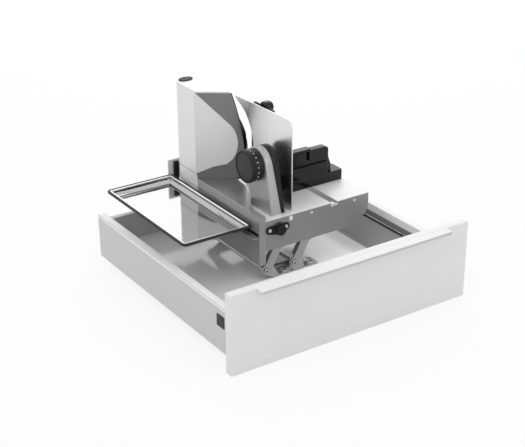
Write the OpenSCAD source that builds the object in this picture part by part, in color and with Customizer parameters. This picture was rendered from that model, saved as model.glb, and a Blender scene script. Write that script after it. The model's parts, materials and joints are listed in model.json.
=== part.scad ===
// Kitchen drawer with a swing-up food slicer.
// X runs along the drawer front, Y to the back of the drawer, Z up.
// Z is zero at the lower edge of the drawer front; the origin is under the middle of the drawer.

/* [Drawer front] */
// Width of the front panel
front_w = 596; // [590:1:602]
// Height of the front panel
front_h = 176; // [172:1:190]
// Thickness of the front panel
front_t = 20; // [18:0.5:22]
// Width of the handle lip
lip_w = 477; // [300:1:560]
// How far the handle lip stands out
lip_out = 19; // [14:0.5:26]
// Thickness of the handle lip
lip_t = 8; // [5:0.5:12]

/* [Drawer box] */
// Distance from a side's outer face to the front panel's end
side_inset = 18; // [16:0.5:20]
// Length of the drawer sides
drawer_len = 564; // [560:1:580]
// Height of the sides' lower edge over the front's lower edge
side_base = 18.5; // [16:0.5:20]
// Height of the sides' rim over the front's lower edge
rim_z = 120; // [118:0.5:122]
// Width of the sides' rim
rim_w = 18; // [17.5:0.1:19]
// Sheet thickness of the sides
sheet_t = 1.5; // [1.2:0.1:1.7]
// Height of the bright outer rim band
rim_band_h = 7; // [4:0.5:10]
// How far the rim band stands out of the side
rim_step = 0.8; // [0.4:0.1:1.2]
// Height of the white lip inside the rim
inner_lip_h = 17; // [15:0.5:18]
// Height of the dark band under the inner lip
band_h = 15; // [13:0.5:16]
// Depth of the recess that holds the dark band
band_depth = 3; // [2.5:0.1:3.2]
// Height of the floor's top over the front's lower edge
floor_z = 46; // [45:0.5:48]
// Thickness of the floor board
board_t = 16; // [14:0.5:17]
// Thickness of the rear panel
rear_t = 14; // [12:0.5:15]
// Height of the rear panel over the floor
rear_h = 63; // [50:1:70]
// Distance from the rear panel to the sides' rear end
rear_inset = 2; // [1:0.5:4]
// Width of the sloping liner on the floor
liner_w = 49; // [40:1:52]
// Height of the sloping liner over the floor
liner_h = 38; // [30:1:39]
// Thickness of the liner, measured along the floor
liner_t = 3; // [2:0.1:4]

/* [Runners] */
// Wall thickness of the rails
rail_t = 1.5; // [1.2:0.1:1.7]
// Height of the cabinet rail
rail_h = 16; // [12:0.5:17]
// Height of the middle rail
mid_rail_h = 26; // [25:0.5:30]
// Length of the cabinet rail
rail_len = 540; // [500:1:545]
// Length of the middle rail
mid_rail_len = 520; // [480:1:530]
// Radius of the cabinet rail's screw holes
rail_hole_r = 2.1; // [1.6:0.1:2.5]
// Distance between the cabinet rail's screw holes
rail_hole_pitch = 448; // [384:32:448]

/* [Swing mount] */
// Place of the left floor pivot across the drawer
pivot_x = -68; // [-74:0.5:-62]
// Height of the floor pivots over the floor
pivot_h = 24; // [22:0.5:26]
// Distance between the two floor pivots
pivot_span = 73.5; // [70:0.5:80]
// Length of a link between its pivots
link_len = 126; // [124:0.5:130]
// Lean of the links with the slicer raised, in degrees
link_lean = 29; // [27:0.5:30]
// Width of a link
link_w = 21; // [19:0.5:22]
// Thickness of a link's plate
link_t = 3; // [2.5:0.1:3.5]
// Depth of a link's folded edges
link_flange = 9; // [6:0.5:12]
// Radius of the lower pivot pins
pin_r = 5; // [4:0.1:6]
// Radius of the upper pivot pins
top_pin_r = 3.5; // [3:0.1:4]
// Distance from the pivots' line to a link's middle
link_off = 3.5; // [2.5:0.1:3.8]
// How far a link widens under the cheek
flare_w = 12; // [8:0.5:13]
// Radius of the brackets' rounded ears
ear_r = 11.5; // [10.5:0.1:12]
// Thickness of the brackets
bracket_t = 2.5; // [2:0.1:3]
// Depth of the brackets' feet
foot_d = 36; // [33:1:44]
// Distance from a floor pivot to the middle of its foot's round lobe
lobe_dx = 55; // [52:0.5:58]
// Radius of the feet's round lobes
lobe_r = 16; // [13:0.5:16.4]
// Height of the feet's round lobes
lobe_h = 6; // [4:0.5:7]
// Height of the bar between the floor pivots
bar_h = 14; // [10:0.5:15]
// Depth of the bar between the floor pivots
bar_d = 14; // [8:0.5:20]

/* [Base] */
// Place of the base's front face behind the drawer front's face
base_y0 = 218; // [210:1:222]
// Depth of the base from front to rear cheek
base_d = 234; // [226:1:238]
// Width of the base over its left wall
base_w = 288.5; // [284:0.5:292]
// Distance from the upper pivot to the base's left face
base_left = 80.2; // [79.5:0.1:82]
// Height of the table over the upper pivots
table_over_pivot = 8.8; // [7:0.1:10]
// Height of the cheeks
cheek_h = 70.5; // [66:0.5:74]
// Thickness of the cast walls
wall_t = 3; // [2.5:0.1:3.3]
// Thickness of the table plates
table_t = 2; // [1.5:0.1:2.2]
// Width of the left wall's rim
left_rim_w = 16; // [14:0.5:16.5]
// Height of the left wall's rim over the table
left_rim_h = 11; // [8:0.5:14]
// How far the left wall reaches below the table
left_drop = 100.5; // [96:0.5:100.8]
// Width of the cheeks' rounded lower corner
corner_w = 85; // [60:1:95]
// Height of the cheeks' rounded lower corner
corner_h = 40; // [30:1:46]
// Distance from the base's left face to the groove
groove_x = 186; // [180:0.5:190]
// Width of the groove
groove_w = 17; // [14:0.5:20]

/* [Tower] */
// Place of the tower's left front edge behind the drawer front's face
tower_y0 = 467; // [465:0.5:470]
// Depth of the tower's left face
tower_d = 97.5; // [92:0.5:98]
// Width of the tower
tower_w = 61; // [58:0.5:64]
// Height of the tower over the table
tower_h = 218.5; // [214:0.5:224]
// Radius of the tower's rear corner
tower_r = 25; // [15:0.5:28]
// Height of the plinth's joint line over the table
plinth_top = 24; // [20:0.5:28]
// How far the plinth reaches below the table
plinth_drop = 39; // [30:0.5:42]
// Thickness of the tower's top plate
top_t = 3.5; // [3:0.1:4]
// Angle of the diagonal wall from the drawer's front line, in degrees
diag_a = 35.5; // [34:0.5:37]
// Length of the diagonal wall at the blade's height
diag_w = 106.5; // [104:0.1:106.8]
// How much shorter the diagonal wall is at the top
diag_cut = 28.5; // [28.4:0.1:32]
// Thickness of the diagonal wall
diag_t = 2; // [1.5:0.1:2.1]
// Thickness of the silver wall cover
cover_t = 1.5; // [1:0.1:2]

/* [Blade] */
// Radius of the blade
blade_r = 85; // [83:0.5:85.5]
// Thickness of the blade
blade_t = 2; // [1.5:0.1:2]
// Place of the blade's axis behind the tower's front edge
blade_dy = 16; // [14:0.5:18]
// Height of the blade's axis over the table
blade_h = 76; // [75:0.5:78]
// Radius of the blade's shaft
shaft_r = 5; // [4:0.1:6]
// Distance from the blade's edge to the guard
guard_gap = 1; // [0.8:0.1:1.5]
// Thickness of the guard's rim
guard_t = 1.8; // [1.5:0.1:2.5]
// Width of the guard's rim
guard_w = 12; // [8:0.5:14]
// Width of the guard's rim beyond the diagonal wall
guard_lip = 3; // [2:0.1:3.2]
// Radius of the gear case
case_r = 54; // [40:1:55]

/* [Drive] */
// Number of teeth on the drive gear
gear_teeth = 24; // [20:1:30]
// Outer radius of the drive gear
gear_r = 25.5; // [22:0.5:26]
// Height of the gear's teeth
tooth_h = 3; // [2:0.1:4]
// Width of the gear
gear_w = 10; // [8:0.5:12]
// Outer radius of the worm
worm_r = 5.5; // [4.5:0.1:5.9]
// Distance between the gear and worm axes
worm_dist = 32.5; // [32:0.5:34]
// Outer radius of the motor's stator
stator_r = 24; // [20:0.5:26]
// Length of the motor's stator
stator_h = 62; // [50:1:70]
// Radius of the rotor
rotor_r = 16.5; // [12:0.5:17]

/* [Slice gauge] */
// Distance from the base's left face to the gauge plate's cutting face
gauge_x = 92; // [91:0.5:93]
// Thickness of the gauge plate
gauge_t = 2.5; // [2:0.1:3]
// Distance from the base's front to the gauge plate's front edge
gauge_y = 11; // [8:0.5:14]
// Height of the gauge plate over the table
gauge_h = 204.5; // [196:0.5:208]
// Radius of the gauge plate's front corner
gauge_r = 22; // [10:0.5:30]
// Distance from the blade's edge to the gauge plate's rear edge
gauge_gap = 22; // [16:0.5:24]
// The same distance near the gauge plate's top
gauge_gap_top = 37; // [36.5:0.5:42]
// Greatest slice thickness
slice_max = 14; // [12:0.5:15]
// Distance from the base's left face to the support arm
arm_x = 40; // [38:0.5:42]
// Width of the support arm
arm_w = 28; // [24:0.5:30]
// Radius of the support arm's head
arm_r = 38; // [36:0.5:39]
// Distance from the base's front to the knob's axis
knob_dy = 72; // [68:0.5:74]
// Height of the knob's axis over the table
knob_h = 100; // [92:0.5:104]
// Radius of the knob
knob_r = 36; // [30:0.5:38]
// Width of the knob
knob_w = 27; // [20:0.5:30]

/* [Carriage] */
// Distance from the base's front to the carriage's front
carriage_y = 92; // [84:1:96]
// Depth of the carriage
carriage_d = 100; // [90:1:108]
// Width of the carriage
carriage_w = 190.6; // [184:0.1:193]
// Height of the carriage's lowest step
step_low = 24.5; // [20:0.5:30]
// Depth of the carriage's lowest step
sill_d = 41; // [30:1:50]
// Height of the carriage's middle step
step_mid = 52; // [44:0.5:60]
// Width of the carriage's middle step
tier_w = 151; // [140:1:156]
// Depth of the carriage's middle step
tier_d = 7; // [6.6:0.1:10]
// Height of the carriage wall
step_top = 85; // [80:0.5:92]
// Width of the carriage wall
head_w = 156; // [150:1:170]
// Width of the thick block at the carriage wall's right end
block_w = 50; // [40:1:56]
// Depth of the thick block at the carriage wall's right end
block_d = 20; // [12:0.5:24]
// Height of the remnant holder over the table
holder_h = 214; // [200:0.5:216]
// Depth of the remnant holder's plate
plate_d = 75; // [60:1:80]

/* [Tray] */
// Width of the tray
tray_w = 169.5; // [140:0.5:171]
// Length of the tray
tray_len = 339; // [300:1:340]
// Distance from the base's front to the tray's front
tray_dy = 18; // [12:0.5:18.5]
// Distance from the base's left face to the tray
tray_gap = 4; // [3:0.5:6]
// Depth of the tray's pan
tray_h = 11; // [8:0.5:16]
// Height of the tray's flange below the table
tray_drop = 14; // [10:0.5:16]
// Radius of the tray's corners
tray_r = 9; // [8:0.5:16]
// Width of the tray's dark rim
rim_ring_w = 8; // [6:0.5:10]
// Thickness of the tray's dark rim
rim_ring_t = 4; // [2:0.1:5]
// Wall thickness of the tray
tray_t = 1.2; // [1:0.1:1.6]

/* [Hidden] */
$fn = 64;
over = 1;
run = 0.05;
touch = 0.3;

drawer_w = front_w - 2 * side_inset;
centre_y = (front_t + drawer_len - lip_out) / 2;
side_y1 = front_t + drawer_len;
side_x = drawer_w / 2;
inner_x = side_x - rim_w;
rail_x = side_x - rim_w / 2;
rear_y1 = side_y1 - rear_inset;
rear_y0 = rear_y1 - rear_t;
lip_z0 = rim_z - inner_lip_h;
band_z0 = lip_z0 - band_h;
outer_x = side_x - rim_step;

rail_run = 0.4;
side_run = 1;
rail_w = rim_w - 2 * sheet_t - 2 * side_run;
rail_inset = 6;
mid_inset = 8;
rail_y0 = front_t + rail_inset;
mid_y0 = rail_y0 + mid_inset;
mid_z0 = side_base + rail_t + rail_run;
mid_z1 = mid_z0 + mid_rail_h;
drawer_rail_web = 9;

pivot_z = floor_z + pivot_h;
top_x = pivot_x + link_len * sin(link_lean);
top_z = pivot_z + link_len * cos(link_lean);
table_z = top_z + table_over_pivot;
base_x0 = top_x - base_left;
base_x1 = base_x0 + base_w;
base_y1 = base_y0 + base_d;
cheek_x0 = base_x0 + left_rim_w;
cheek_z0 = table_z - cheek_h;
plate_z0 = table_z - table_t;
gap = 1;
link_y0 = base_y0 + wall_t + gap;
ear_y0 = link_y0 + link_t + gap;
rear_link_y1 = base_y1 - wall_t - gap;
rear_ear_y1 = rear_link_y1 - link_t - gap;
rivet_r = 9;
rivet_t = 3;
disc_r = 11;
disc_t = 2;
screw_head_r = 4.5;
screw_head_t = 2;

tower_x0 = base_x0;
tower_x1 = base_x0 + tower_w;
tower_y1 = tower_y0 + tower_d;
tower_z1 = table_z + tower_h;
plinth_z1 = table_z + plinth_top;
plinth_z0 = table_z - plinth_drop;
diag_dx = cos(diag_a);
diag_dy = -sin(diag_a);
diag_top_w = diag_w - diag_cut;
deck_t = 3;
diag_z0 = table_z + left_rim_h + deck_t;

blade_y = tower_y0 + blade_dy;
blade_z = table_z + blade_h;
blade_gap = 0.2;
blade_x1 = base_x0 + gauge_x - blade_gap;
blade_x0 = blade_x1 - blade_t;
hub_r = 20;
case_gap = 6;
case_x1 = blade_x0 - case_gap;
gear_dx = 26;
gear_x0 = tower_x0 + gear_dx;
worm_y = blade_y + worm_dist;
worm_x = gear_x0 + gear_w / 2;
motor_rise = 38;
motor_z0 = blade_z + motor_rise;
motor_shelf_t = 3;
motor_shaft_r = 3;
worm_half = 17;
shaft_gap = 2;

gauge_x1 = base_x0 + gauge_x;
gauge_x0 = gauge_x1 - gauge_t;
gauge_y0 = base_y0 + gauge_y;
gauge_z1 = table_z + gauge_h;
arm_x0 = base_x0 + arm_x;
arm_x1 = arm_x0 + arm_w;
knob_y = base_y0 + knob_dy;
knob_z = table_z + knob_h;
knob_gap = 3;
knob_x1 = arm_x0 - knob_gap;
knob_x0 = knob_x1 - knob_w;
guide_rise = 40;
guide_z = table_z + guide_rise;
guide_r = 5;

carriage_gap = 3;
carriage_x0 = gauge_x1 + carriage_gap;
carriage_x1 = carriage_x0 + carriage_w;
carriage_y0 = base_y0 + carriage_y;
carriage_y1 = carriage_y0 + carriage_d;
carriage_z0 = table_z + touch;
carriage_t = 6;
groove_x0 = base_x0 + groove_x;
groove_x1 = groove_x0 + groove_w;

tray_x1 = base_x0 - tray_gap;
tray_x0 = tray_x1 - tray_w;
tray_y0 = base_y0 + tray_dy;
tray_y1 = tray_y0 + tray_len;
tray_z1 = table_z - tray_drop;
tray_z0 = tray_z1 - tray_h;
pan_gap = 2;
pan_inset = rim_ring_w - pan_gap;
leg_x0 = tray_x1 - rim_ring_w;
ledge_drop = 10;
ledge_z = tray_z0 - ledge_drop;
ledge_t = 3;
ledge_d = 56;
ledge_y = [base_y0 + ledge_t, tower_y0 - ledge_d - ledge_t];

flange_w = 60;
flange_h = 27;
flange_t = 2.5;
flange_edge = 7.5;
flange_x0 = cheek_x0;
flange_x1 = flange_x0 + flange_w;
flange_drop = 24;
flange_r = 6;
flange_z = table_z - flange_drop;
lock_x = flange_x0 + flange_w * 0.63;
lock_drop = 3;
lock_z = flange_z - lock_drop;
lock_r = 12;
lock_out = 8;
lock_in = 0.5;

switch_dx = 25;
switch_dy = 82;
switch_x = tower_x0 + switch_dx;
switch_y = tower_y0 + switch_dy;
switch_rx = 17;
switch_ry = 11;
switch_up = 2.5;

// Everything is drawn with Y counted from the front panel's face, then centred.
module placed() {
    translate([0, -centre_y, 0])
        children();
}

// A block between two corners
module block(a, b) {
    translate(a)
        cube(b - a);
}

// A round rod along X
module rod_x(y, z, r, x0, x1) {
    translate([x0, y, z])
        rotate([0, 90, 0])
            cylinder(r = r, h = x1 - x0);
}

// A round rod along Y
module rod_y(x, z, r, y0, y1) {
    translate([x, y0, z])
        rotate([-90, 0, 0])
            cylinder(r = r, h = y1 - y0);
}

// A flat outline in X and Z made solid along Y
module along_y(y0, y1) {
    translate([0, y1, 0])
        rotate([90, 0, 0])
            linear_extrude(y1 - y0)
                children();
}

// A flat outline in Y and Z made solid along X
module along_x(x0, x1) {
    translate([x0, 0, 0])
        rotate([90, 0, 90])
            linear_extrude(x1 - x0)
                children();
}

// A flat outline, along the diagonal wall and up, made solid into the tower
module along_wall(d0, d1) {
    translate([tower_x0, tower_y0, 0])
        rotate([0, 0, -diag_a])
            translate([0, d1, 0])
                rotate([90, 0, 0])
                    linear_extrude(d1 - d0)
                        children();
}

// A rectangle between two corners
module rect(a, b) {
    translate(a)
        square(b - a);
}

// A rectangle with round corners between two corners
module round_rect(a, b, r) {
    rect(a + [r, 0], b - [r, 0]);
    rect(a + [0, r], b - [0, r]);
    for (x = [a[0] + r, b[0] - r], y = [a[1] + r, b[1] - r])
        translate([x, y])
            circle(r);
}

// The same piece on the right and on the left
module both_sides() {
    children();
    mirror([1, 0, 0])
        children();
}

module cabinet_rail() {
    half = rail_w / 2;
    z0 = side_base;
    difference() {
        along_y(rail_y0, rail_y0 + rail_len) {
            rect([rail_x - half, z0], [rail_x + half, z0 + rail_t]);
            rect([rail_x - half, z0], [rail_x - half + rail_t, z0 + rail_h]);
            rect([rail_x + half - rail_t, z0], [rail_x + half, z0 + rail_h]);
        }
        for (s = [-1, 1])
            translate([rail_x, rail_y0 + (rail_len + s * rail_hole_pitch) / 2, z0 - over])
                cylinder(r = rail_hole_r, h = rail_t + 2 * over);
    }
}

module middle_rail() {
    half = rail_w / 2 - rail_t - rail_run;
    along_y(mid_y0, mid_y0 + mid_rail_len) {
        rect([rail_x - half, mid_z0], [rail_x + half, mid_z0 + rail_t]);
        rect([rail_x - rail_t / 2, mid_z0], [rail_x + rail_t / 2, mid_z1]);
        rect([rail_x - half, mid_z1 - rail_t], [rail_x + half, mid_z1]);
    }
}

module drawer_rail() {
    half = rim_w / 2 - sheet_t;
    z1 = mid_z1 + rail_run + rail_t;
    z0 = z1 - rail_t - drawer_rail_web;
    along_y(front_t, mid_y0 + mid_rail_len) {
        rect([rail_x - half, z1 - rail_t], [rail_x + half - rim_step, z1]);
        rect([rail_x - half, z0], [rail_x - half + rail_t, z1]);
        rect([rail_x + half - rail_t - rim_step, z0], [rail_x + half - rim_step, z1]);
    }
}

module front_panel() {
    color("whitesmoke")
        block([-front_w / 2, 0, 0], [front_w / 2, front_t, front_h]);
}

module handle_lip() {
    color("white")
        block([-lip_w / 2, -lip_out, front_h - lip_t], [lip_w / 2, 0, front_h]);
}

// One double-walled steel side, seen in X and Z
module side_outline() {
    wall_x = inner_x + sheet_t;
    back_x = inner_x + band_depth;
    board_z = floor_z - board_t;
    rect([outer_x - sheet_t, side_base], [outer_x, rim_z]);
    rect([outer_x - sheet_t, rim_z - rim_band_h], [side_x, rim_z]);
    rect([inner_x, rim_z - sheet_t], [side_x, rim_z]);
    rect([inner_x, lip_z0], [wall_x, rim_z]);
    rect([inner_x, lip_z0], [back_x + sheet_t, lip_z0 + sheet_t]);
    rect([back_x, band_z0], [back_x + sheet_t, lip_z0 + sheet_t]);
    rect([inner_x, band_z0 - sheet_t], [back_x + sheet_t, band_z0]);
    rect([inner_x, board_z - sheet_t], [wall_x, band_z0]);
    rect([inner_x - board_t, board_z - sheet_t], [wall_x, board_z]);
}

module side() {
    color("gainsboro")
        along_y(front_t, side_y1)
            side_outline();
}

module side_inlay() {
    x1 = inner_x + band_depth;
    color("dimgray")
        along_y(front_t, side_y1)
            rect([x1 - sheet_t, band_z0], [x1, lip_z0]);
}

module side_bead() {
    bead = 2;
    color("silver")
        along_y(front_t, rear_y0)
            rect([inner_x - bead / 2, band_z0], [inner_x + bead / 2, band_z0 + bead]);
}

module side_liner() {
    z1 = floor_z + liner_h;
    color("darkgray")
        along_y(front_t, rear_y0)
            polygon([
                [inner_x, z1],
                [inner_x - liner_w, floor_z],
                [inner_x - liner_w + liner_t, floor_z],
                [inner_x, z1 - liner_t * liner_h / liner_w]
            ]);
}

module drawer_bottom() {
    color("white")
        block([-inner_x, front_t, floor_z - board_t], [inner_x, rear_y1, floor_z]);
}

module rear_panel() {
    color("gray")
        block([-inner_x, rear_y0, floor_z], [inner_x, rear_y1, floor_z + rear_h]);
}

// Angle that joins a side to the front panel, inside the side
module front_bracket() {
    x0 = inner_x + band_depth + sheet_t + touch;
    x1 = outer_x - sheet_t;
    leg = 40;
    z0 = band_z0 - 2 * band_h;
    color("silver") {
        block([x0, front_t, z0], [x1, front_t + sheet_t, lip_z0]);
        block([x1 - sheet_t, front_t, z0], [x1, front_t + leg, lip_z0]);
    }
}

module side_cover() {
    cover_y = 33;
    cover_z = 28;
    cover_d = 27;
    cover_h = 26;
    cover_t = 1.6;
    y0 = front_t + cover_y;
    z0 = floor_z + cover_z;
    color("lightgray")
        block([outer_x, y0, z0], [outer_x + cover_t, y0 + cover_d, z0 + cover_h]);
}

// Foot screwed to the floor, with an ear for each floor pivot and a bar between them
module mount_bracket() {
    web_shares = [[0.18, -1], [1, -1], [1, -0.7], [0.76, -0.42], [0.54, 0], [0.34, 0.5], [0.07, 0.42]];
    pivots = [pivot_x, pivot_x + pivot_span];
    foot_y1 = ear_y0 + foot_d;
    bar_x = pin_r + gap;
    bar_z1 = pivot_z + gap;
    color("silver")
        difference() {
            union() {
                along_y(ear_y0, ear_y0 + link_t)
                    for (x = pivots)
                        translate([x, pivot_z]) {
                            circle(ear_r);
                            polygon([for (p = web_shares) [p[0] * lobe_dx, p[1] * pivot_h]]);
                        }
                block(
                    [pivots[0] + bar_x, ear_y0, bar_z1 - bar_h],
                    [pivots[1] - bar_x, ear_y0 + link_t + bar_d, bar_z1]
                );
                block([pivot_x, ear_y0, floor_z], [pivots[1] + lobe_dx, foot_y1, floor_z + bracket_t]);
                for (x = pivots)
                    translate([x + lobe_dx, ear_y0 + lobe_r + gap, floor_z])
                        cylinder(r = lobe_r, h = lobe_h);
            }
            for (x = pivots)
                rod_y(x, pivot_z, pin_r + run, ear_y0 - over, ear_y0 + link_t + over);
        }
}

// The same piece at the rear of the slicer
module rear_twin() {
    translate([0, ear_y0 + rear_ear_y1, 0])
        mirror([0, 1, 0])
            children();
}

module bracket_screws() {
    color("dimgray")
        for (x = [pivot_x, pivot_x + pivot_span], s = [-1, 1])
            translate([x + lobe_dx + s * lobe_r / 2, ear_y0 + lobe_r + gap, floor_z + lobe_h])
                cylinder(r = screw_head_r, h = screw_head_t);
}

// One link: a pressed channel with a bore at each end, widened where the cheek hides it
module link(x, y0, fold_y0, fold_y1) {
    low = 0.12 * link_len;
    mid = 0.3 * link_len;
    high = 0.8 * link_len;
    edge = 2;
    half = link_w / 2;
    top_r = table_over_pivot - table_t - touch;
    flare_shares = [[0, 0.42], [0.15, 0.46], [0.5, 0.5], [1, 0.54], [1, 0.63], [0, 0.76]];
    folds = [[link_off - half, low], [link_off + half - edge, mid]];
    color("gainsboro")
        translate([x, 0, pivot_z])
            rotate([0, link_lean, 0])
                difference() {
                    union() {
                        along_y(y0, y0 + link_t) {
                            polygon(concat(
                                [[-half, 0], [half, 0], [half + link_off, low]],
                                [for (p = flare_shares) [half + link_off + p[0] * flare_w, p[1] * link_len]],
                                [
                                    [half + link_off, link_len - link_w],
                                    [top_r, link_len],
                                    [-top_r, link_len],
                                    [link_off - half, link_len - link_w],
                                    [link_off - half, low]
                                ]
                            ));
                            circle(half);
                            translate([0, link_len])
                                circle(top_r);
                        }
                        for (fold = folds)
                            translate([fold[0], fold_y0, fold[1]])
                                cube([edge, fold_y1 - fold_y0, high - fold[1]]);
                    }
                    rod_y(0, 0, pin_r, y0 - over, y0 + link_t + over);
                    rod_y(0, link_len, top_pin_r + run, y0 - over, y0 + link_t + over);
                }
}

module link_front(x) {
    link(x, link_y0, link_y0 + link_t, link_y0 + link_t + link_flange);
}

module link_rear(x) {
    y0 = rear_link_y1 - link_t;
    link(x, y0, y0 - link_flange, y0);
}

// Pin through both links and both ears, with a socket in its front head
module pivot_pin(x) {
    socket_r = 3.5;
    color("silver")
        difference() {
            union() {
                rod_y(x, pivot_z, pin_r, link_y0, rear_link_y1);
                rod_y(x, pivot_z, rivet_r, link_y0 - rivet_t, link_y0);
            }
            translate([x, link_y0 - rivet_t - over, pivot_z])
                rotate([-90, 0, 0])
                    cylinder(r = socket_r, h = over + rivet_t * 0.7, $fn = 6);
        }
}

// Outline of a cheek in X and Z with its large rounded lower corner
module cheek_outline(x0) {
    cx = base_x1 - corner_w;
    cz = cheek_z0 + corner_h;
    polygon(concat(
        [[x0, plate_z0], [x0, cheek_z0]],
        [for (a = [0:9:90]) [cx + corner_w * sin(a), cz - corner_h * cos(a)]],
        [[base_x1, plate_z0]]
    ));
}

module cheek(y0) {
    color("darkgray")
        difference() {
            along_y(y0, y0 + wall_t)
                cheek_outline(cheek_x0);
            for (x = [top_x, top_x + pivot_span])
                rod_y(x, top_z, top_pin_r, y0 - over, y0 + wall_t + over);
            blade_slot();
        }
}

// Front cheek, with a hole that the lock button is pressed into
module cheek_front() {
    color("darkgray")
        difference() {
            cheek(base_y0);
            rod_y(lock_x, lock_z, lock_r + touch, base_y0 - over, base_y0 + wall_t + over);
        }
}

// Slot in the table and the rear cheek that the blade dips into
module blade_slot() {
    side_gap = 2;
    depth = 14;
    block(
        [blade_x0 - side_gap, blade_y - blade_r / 2, table_z - depth],
        [blade_x1 + side_gap, tower_y0 + over, table_z + over]
    );
}

module left_wall() {
    z0 = table_z - left_drop;
    z1 = table_z + left_rim_h;
    color("gainsboro") {
        block([base_x0, base_y0, z0], [base_x0 + wall_t, tower_y0, z1]);
        block([base_x0, base_y0, z1 - wall_t], [cheek_x0, tower_y0, z1]);
        block([base_x0, base_y0, z0], [cheek_x0, base_y0 + wall_t, z1]);
        for (y = ledge_y)
            block([leg_x0 - over, y, ledge_z - ledge_t], [base_x0, y + ledge_d, ledge_z]);
    }
}

module table_left() {
    color("white")
        difference() {
            block([cheek_x0, base_y0, plate_z0], [groove_x0, tower_y0, table_z]);
            blade_slot();
        }
}

module table_right() {
    skirt_z = cheek_z0 + corner_h;
    color("white") {
        block([groove_x1, base_y0, plate_z0], [base_x1, tower_y0, table_z]);
        block([base_x1 - wall_t, base_y0 + wall_t, skirt_z], [base_x1, base_y1 - wall_t, table_z]);
    }
}

module upper_pins() {
    color("white") {
        rod_y(top_x, top_z, disc_r, base_y0 - disc_t, base_y0);
        rod_y(top_x, top_z, top_pin_r, base_y0 - disc_t, base_y1);
        rod_y(top_x + pivot_span, top_z, top_pin_r, base_y0, base_y1);
    }
}

module cheek_screws() {
    head = 2.8;
    head_t = 1.2;
    edge = 9;
    color("silver") {
        for (x = [top_x + pivot_span * 0.74, base_x1 - corner_w * 0.465])
            rod_y(x, table_z - edge, head, base_y0 - head_t, base_y0);
        for (x = [flange_x0 + flange_edge, flange_x1 - flange_edge])
            rod_y(x, flange_z + flange_h * 0.1, head, base_y0 - flange_t - head_t, base_y0 - flange_t);
    }
}

module lock_flange() {
    color("black")
        difference() {
            along_y(base_y0 - flange_t, base_y0)
                difference() {
                    round_rect([flange_x0, flange_z - flange_h / 2], [flange_x1, flange_z + flange_h / 2], flange_r);
                    translate([top_x, top_z])
                        circle(disc_r + touch);
                }
            rod_y(lock_x, lock_z, lock_r + touch, base_y0 - flange_t - over, base_y0 + over);
        }
}

module lock_button() {
    color("dimgray")
        rod_y(lock_x, lock_z, lock_r, base_y0 - flange_t - lock_out, base_y0 + lock_in);
}

// Plan of the tower: left face, rounded rear corner, straight rear and right face
module tower_plan(inset, x1) {
    r = tower_r - inset;
    c = [tower_x0 + tower_r, tower_y1 - tower_r];
    front = tower_y0 + diag_dy / diag_dx * (x1 - inset - tower_x0);
    polygon(concat(
        [[tower_x0 + inset, tower_y0 + diag_dy / diag_dx * inset], [tower_x0 + inset, c[1]]],
        [for (a = [180:-9:90]) c + r * [cos(a), sin(a)]],
        [[x1 - inset, tower_y1 - inset], [x1 - inset, front]]
    ));
}

// Room behind the diagonal wall's face that other pieces leave free
module wall_room() {
    along_wall(-over, wall_t)
        rect([-tower_w, diag_z0], [diag_w + tower_w, tower_z1 + over]);
}

module plinth() {
    color("gainsboro")
        difference() {
            translate([0, 0, plinth_z0])
                linear_extrude(plinth_z1 - plinth_z0)
                    difference() {
                        intersection() {
                            tower_plan(0, tower_x1);
                            rect([tower_x0, tower_y0], [tower_x1, tower_y1]);
                        }
                        intersection() {
                            tower_plan(wall_t, tower_x1);
                            rect([tower_x0, tower_y0 + wall_t], [tower_x1, tower_y1]);
                        }
                    }
            wall_room();
        }
    rear_hook();
}

// Plate behind the tray's rear rim, on an arm from the plinth
module rear_hook() {
    y0 = tray_y1 + tray_t;
    y1 = y0 + wall_t;
    x1 = tower_x0 + tower_r + wall_t;
    z0 = tray_z0 + touch;
    color("gainsboro") {
        block([tray_x1 - rim_ring_w, y0, z0], [x1, y1, plinth_z1 - touch]);
        block([tower_x0 + tower_r - over, tower_y1 - wall_t + touch, z0], [x1, y1, plinth_z1 - touch]);
    }
}

module motor_housing() {
    color("whitesmoke")
        difference() {
            translate([0, 0, plinth_z1])
                linear_extrude(tower_z1 - top_t - plinth_z1)
                    difference() {
                        tower_plan(0, tower_x1);
                        tower_plan(wall_t, tower_x1);
                    }
            wall_room();
            rod_x(blade_y, blade_z, shaft_r + shaft_gap, tower_x1 - 2 * wall_t, tower_x1 + over);
        }
}

// Outline of the oval switch button
module oval(rx, ry) {
    translate([switch_x, switch_y])
        polygon([for (a = [0:10:350]) [rx * cos(a), ry * sin(a)]]);
}

module tower_top() {
    color("white")
        translate([0, 0, tower_z1 - top_t])
            linear_extrude(top_t)
                difference() {
                    tower_plan(0, tower_x1);
                    oval(switch_rx + touch, switch_ry + touch);
                }
}

module switch_button() {
    color("dimgray")
        translate([0, 0, tower_z1 - top_t])
            linear_extrude(top_t + switch_up)
                oval(switch_rx, switch_ry);
}

// Height at which the diagonal wall starts to curve back
curve_z = blade_z + blade_r * 0.13;

// Length of the diagonal wall at a height, shorter towards the top
function wall_len(z) = diag_w - diag_cut * pow((z - curve_z) / (tower_z1 - curve_z), 1.5);

module diagonal_wall() {
    steps = 12;
    dz = (tower_z1 - top_t - curve_z) / steps;
    color("gray")
        along_wall(0, diag_t)
            polygon(concat(
                [[0, tower_z1 - top_t], [0, diag_z0], [diag_w, diag_z0]],
                [for (i = [0:steps]) [wall_len(curve_z + i * dz), curve_z + i * dz]]
            ));
}

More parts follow.
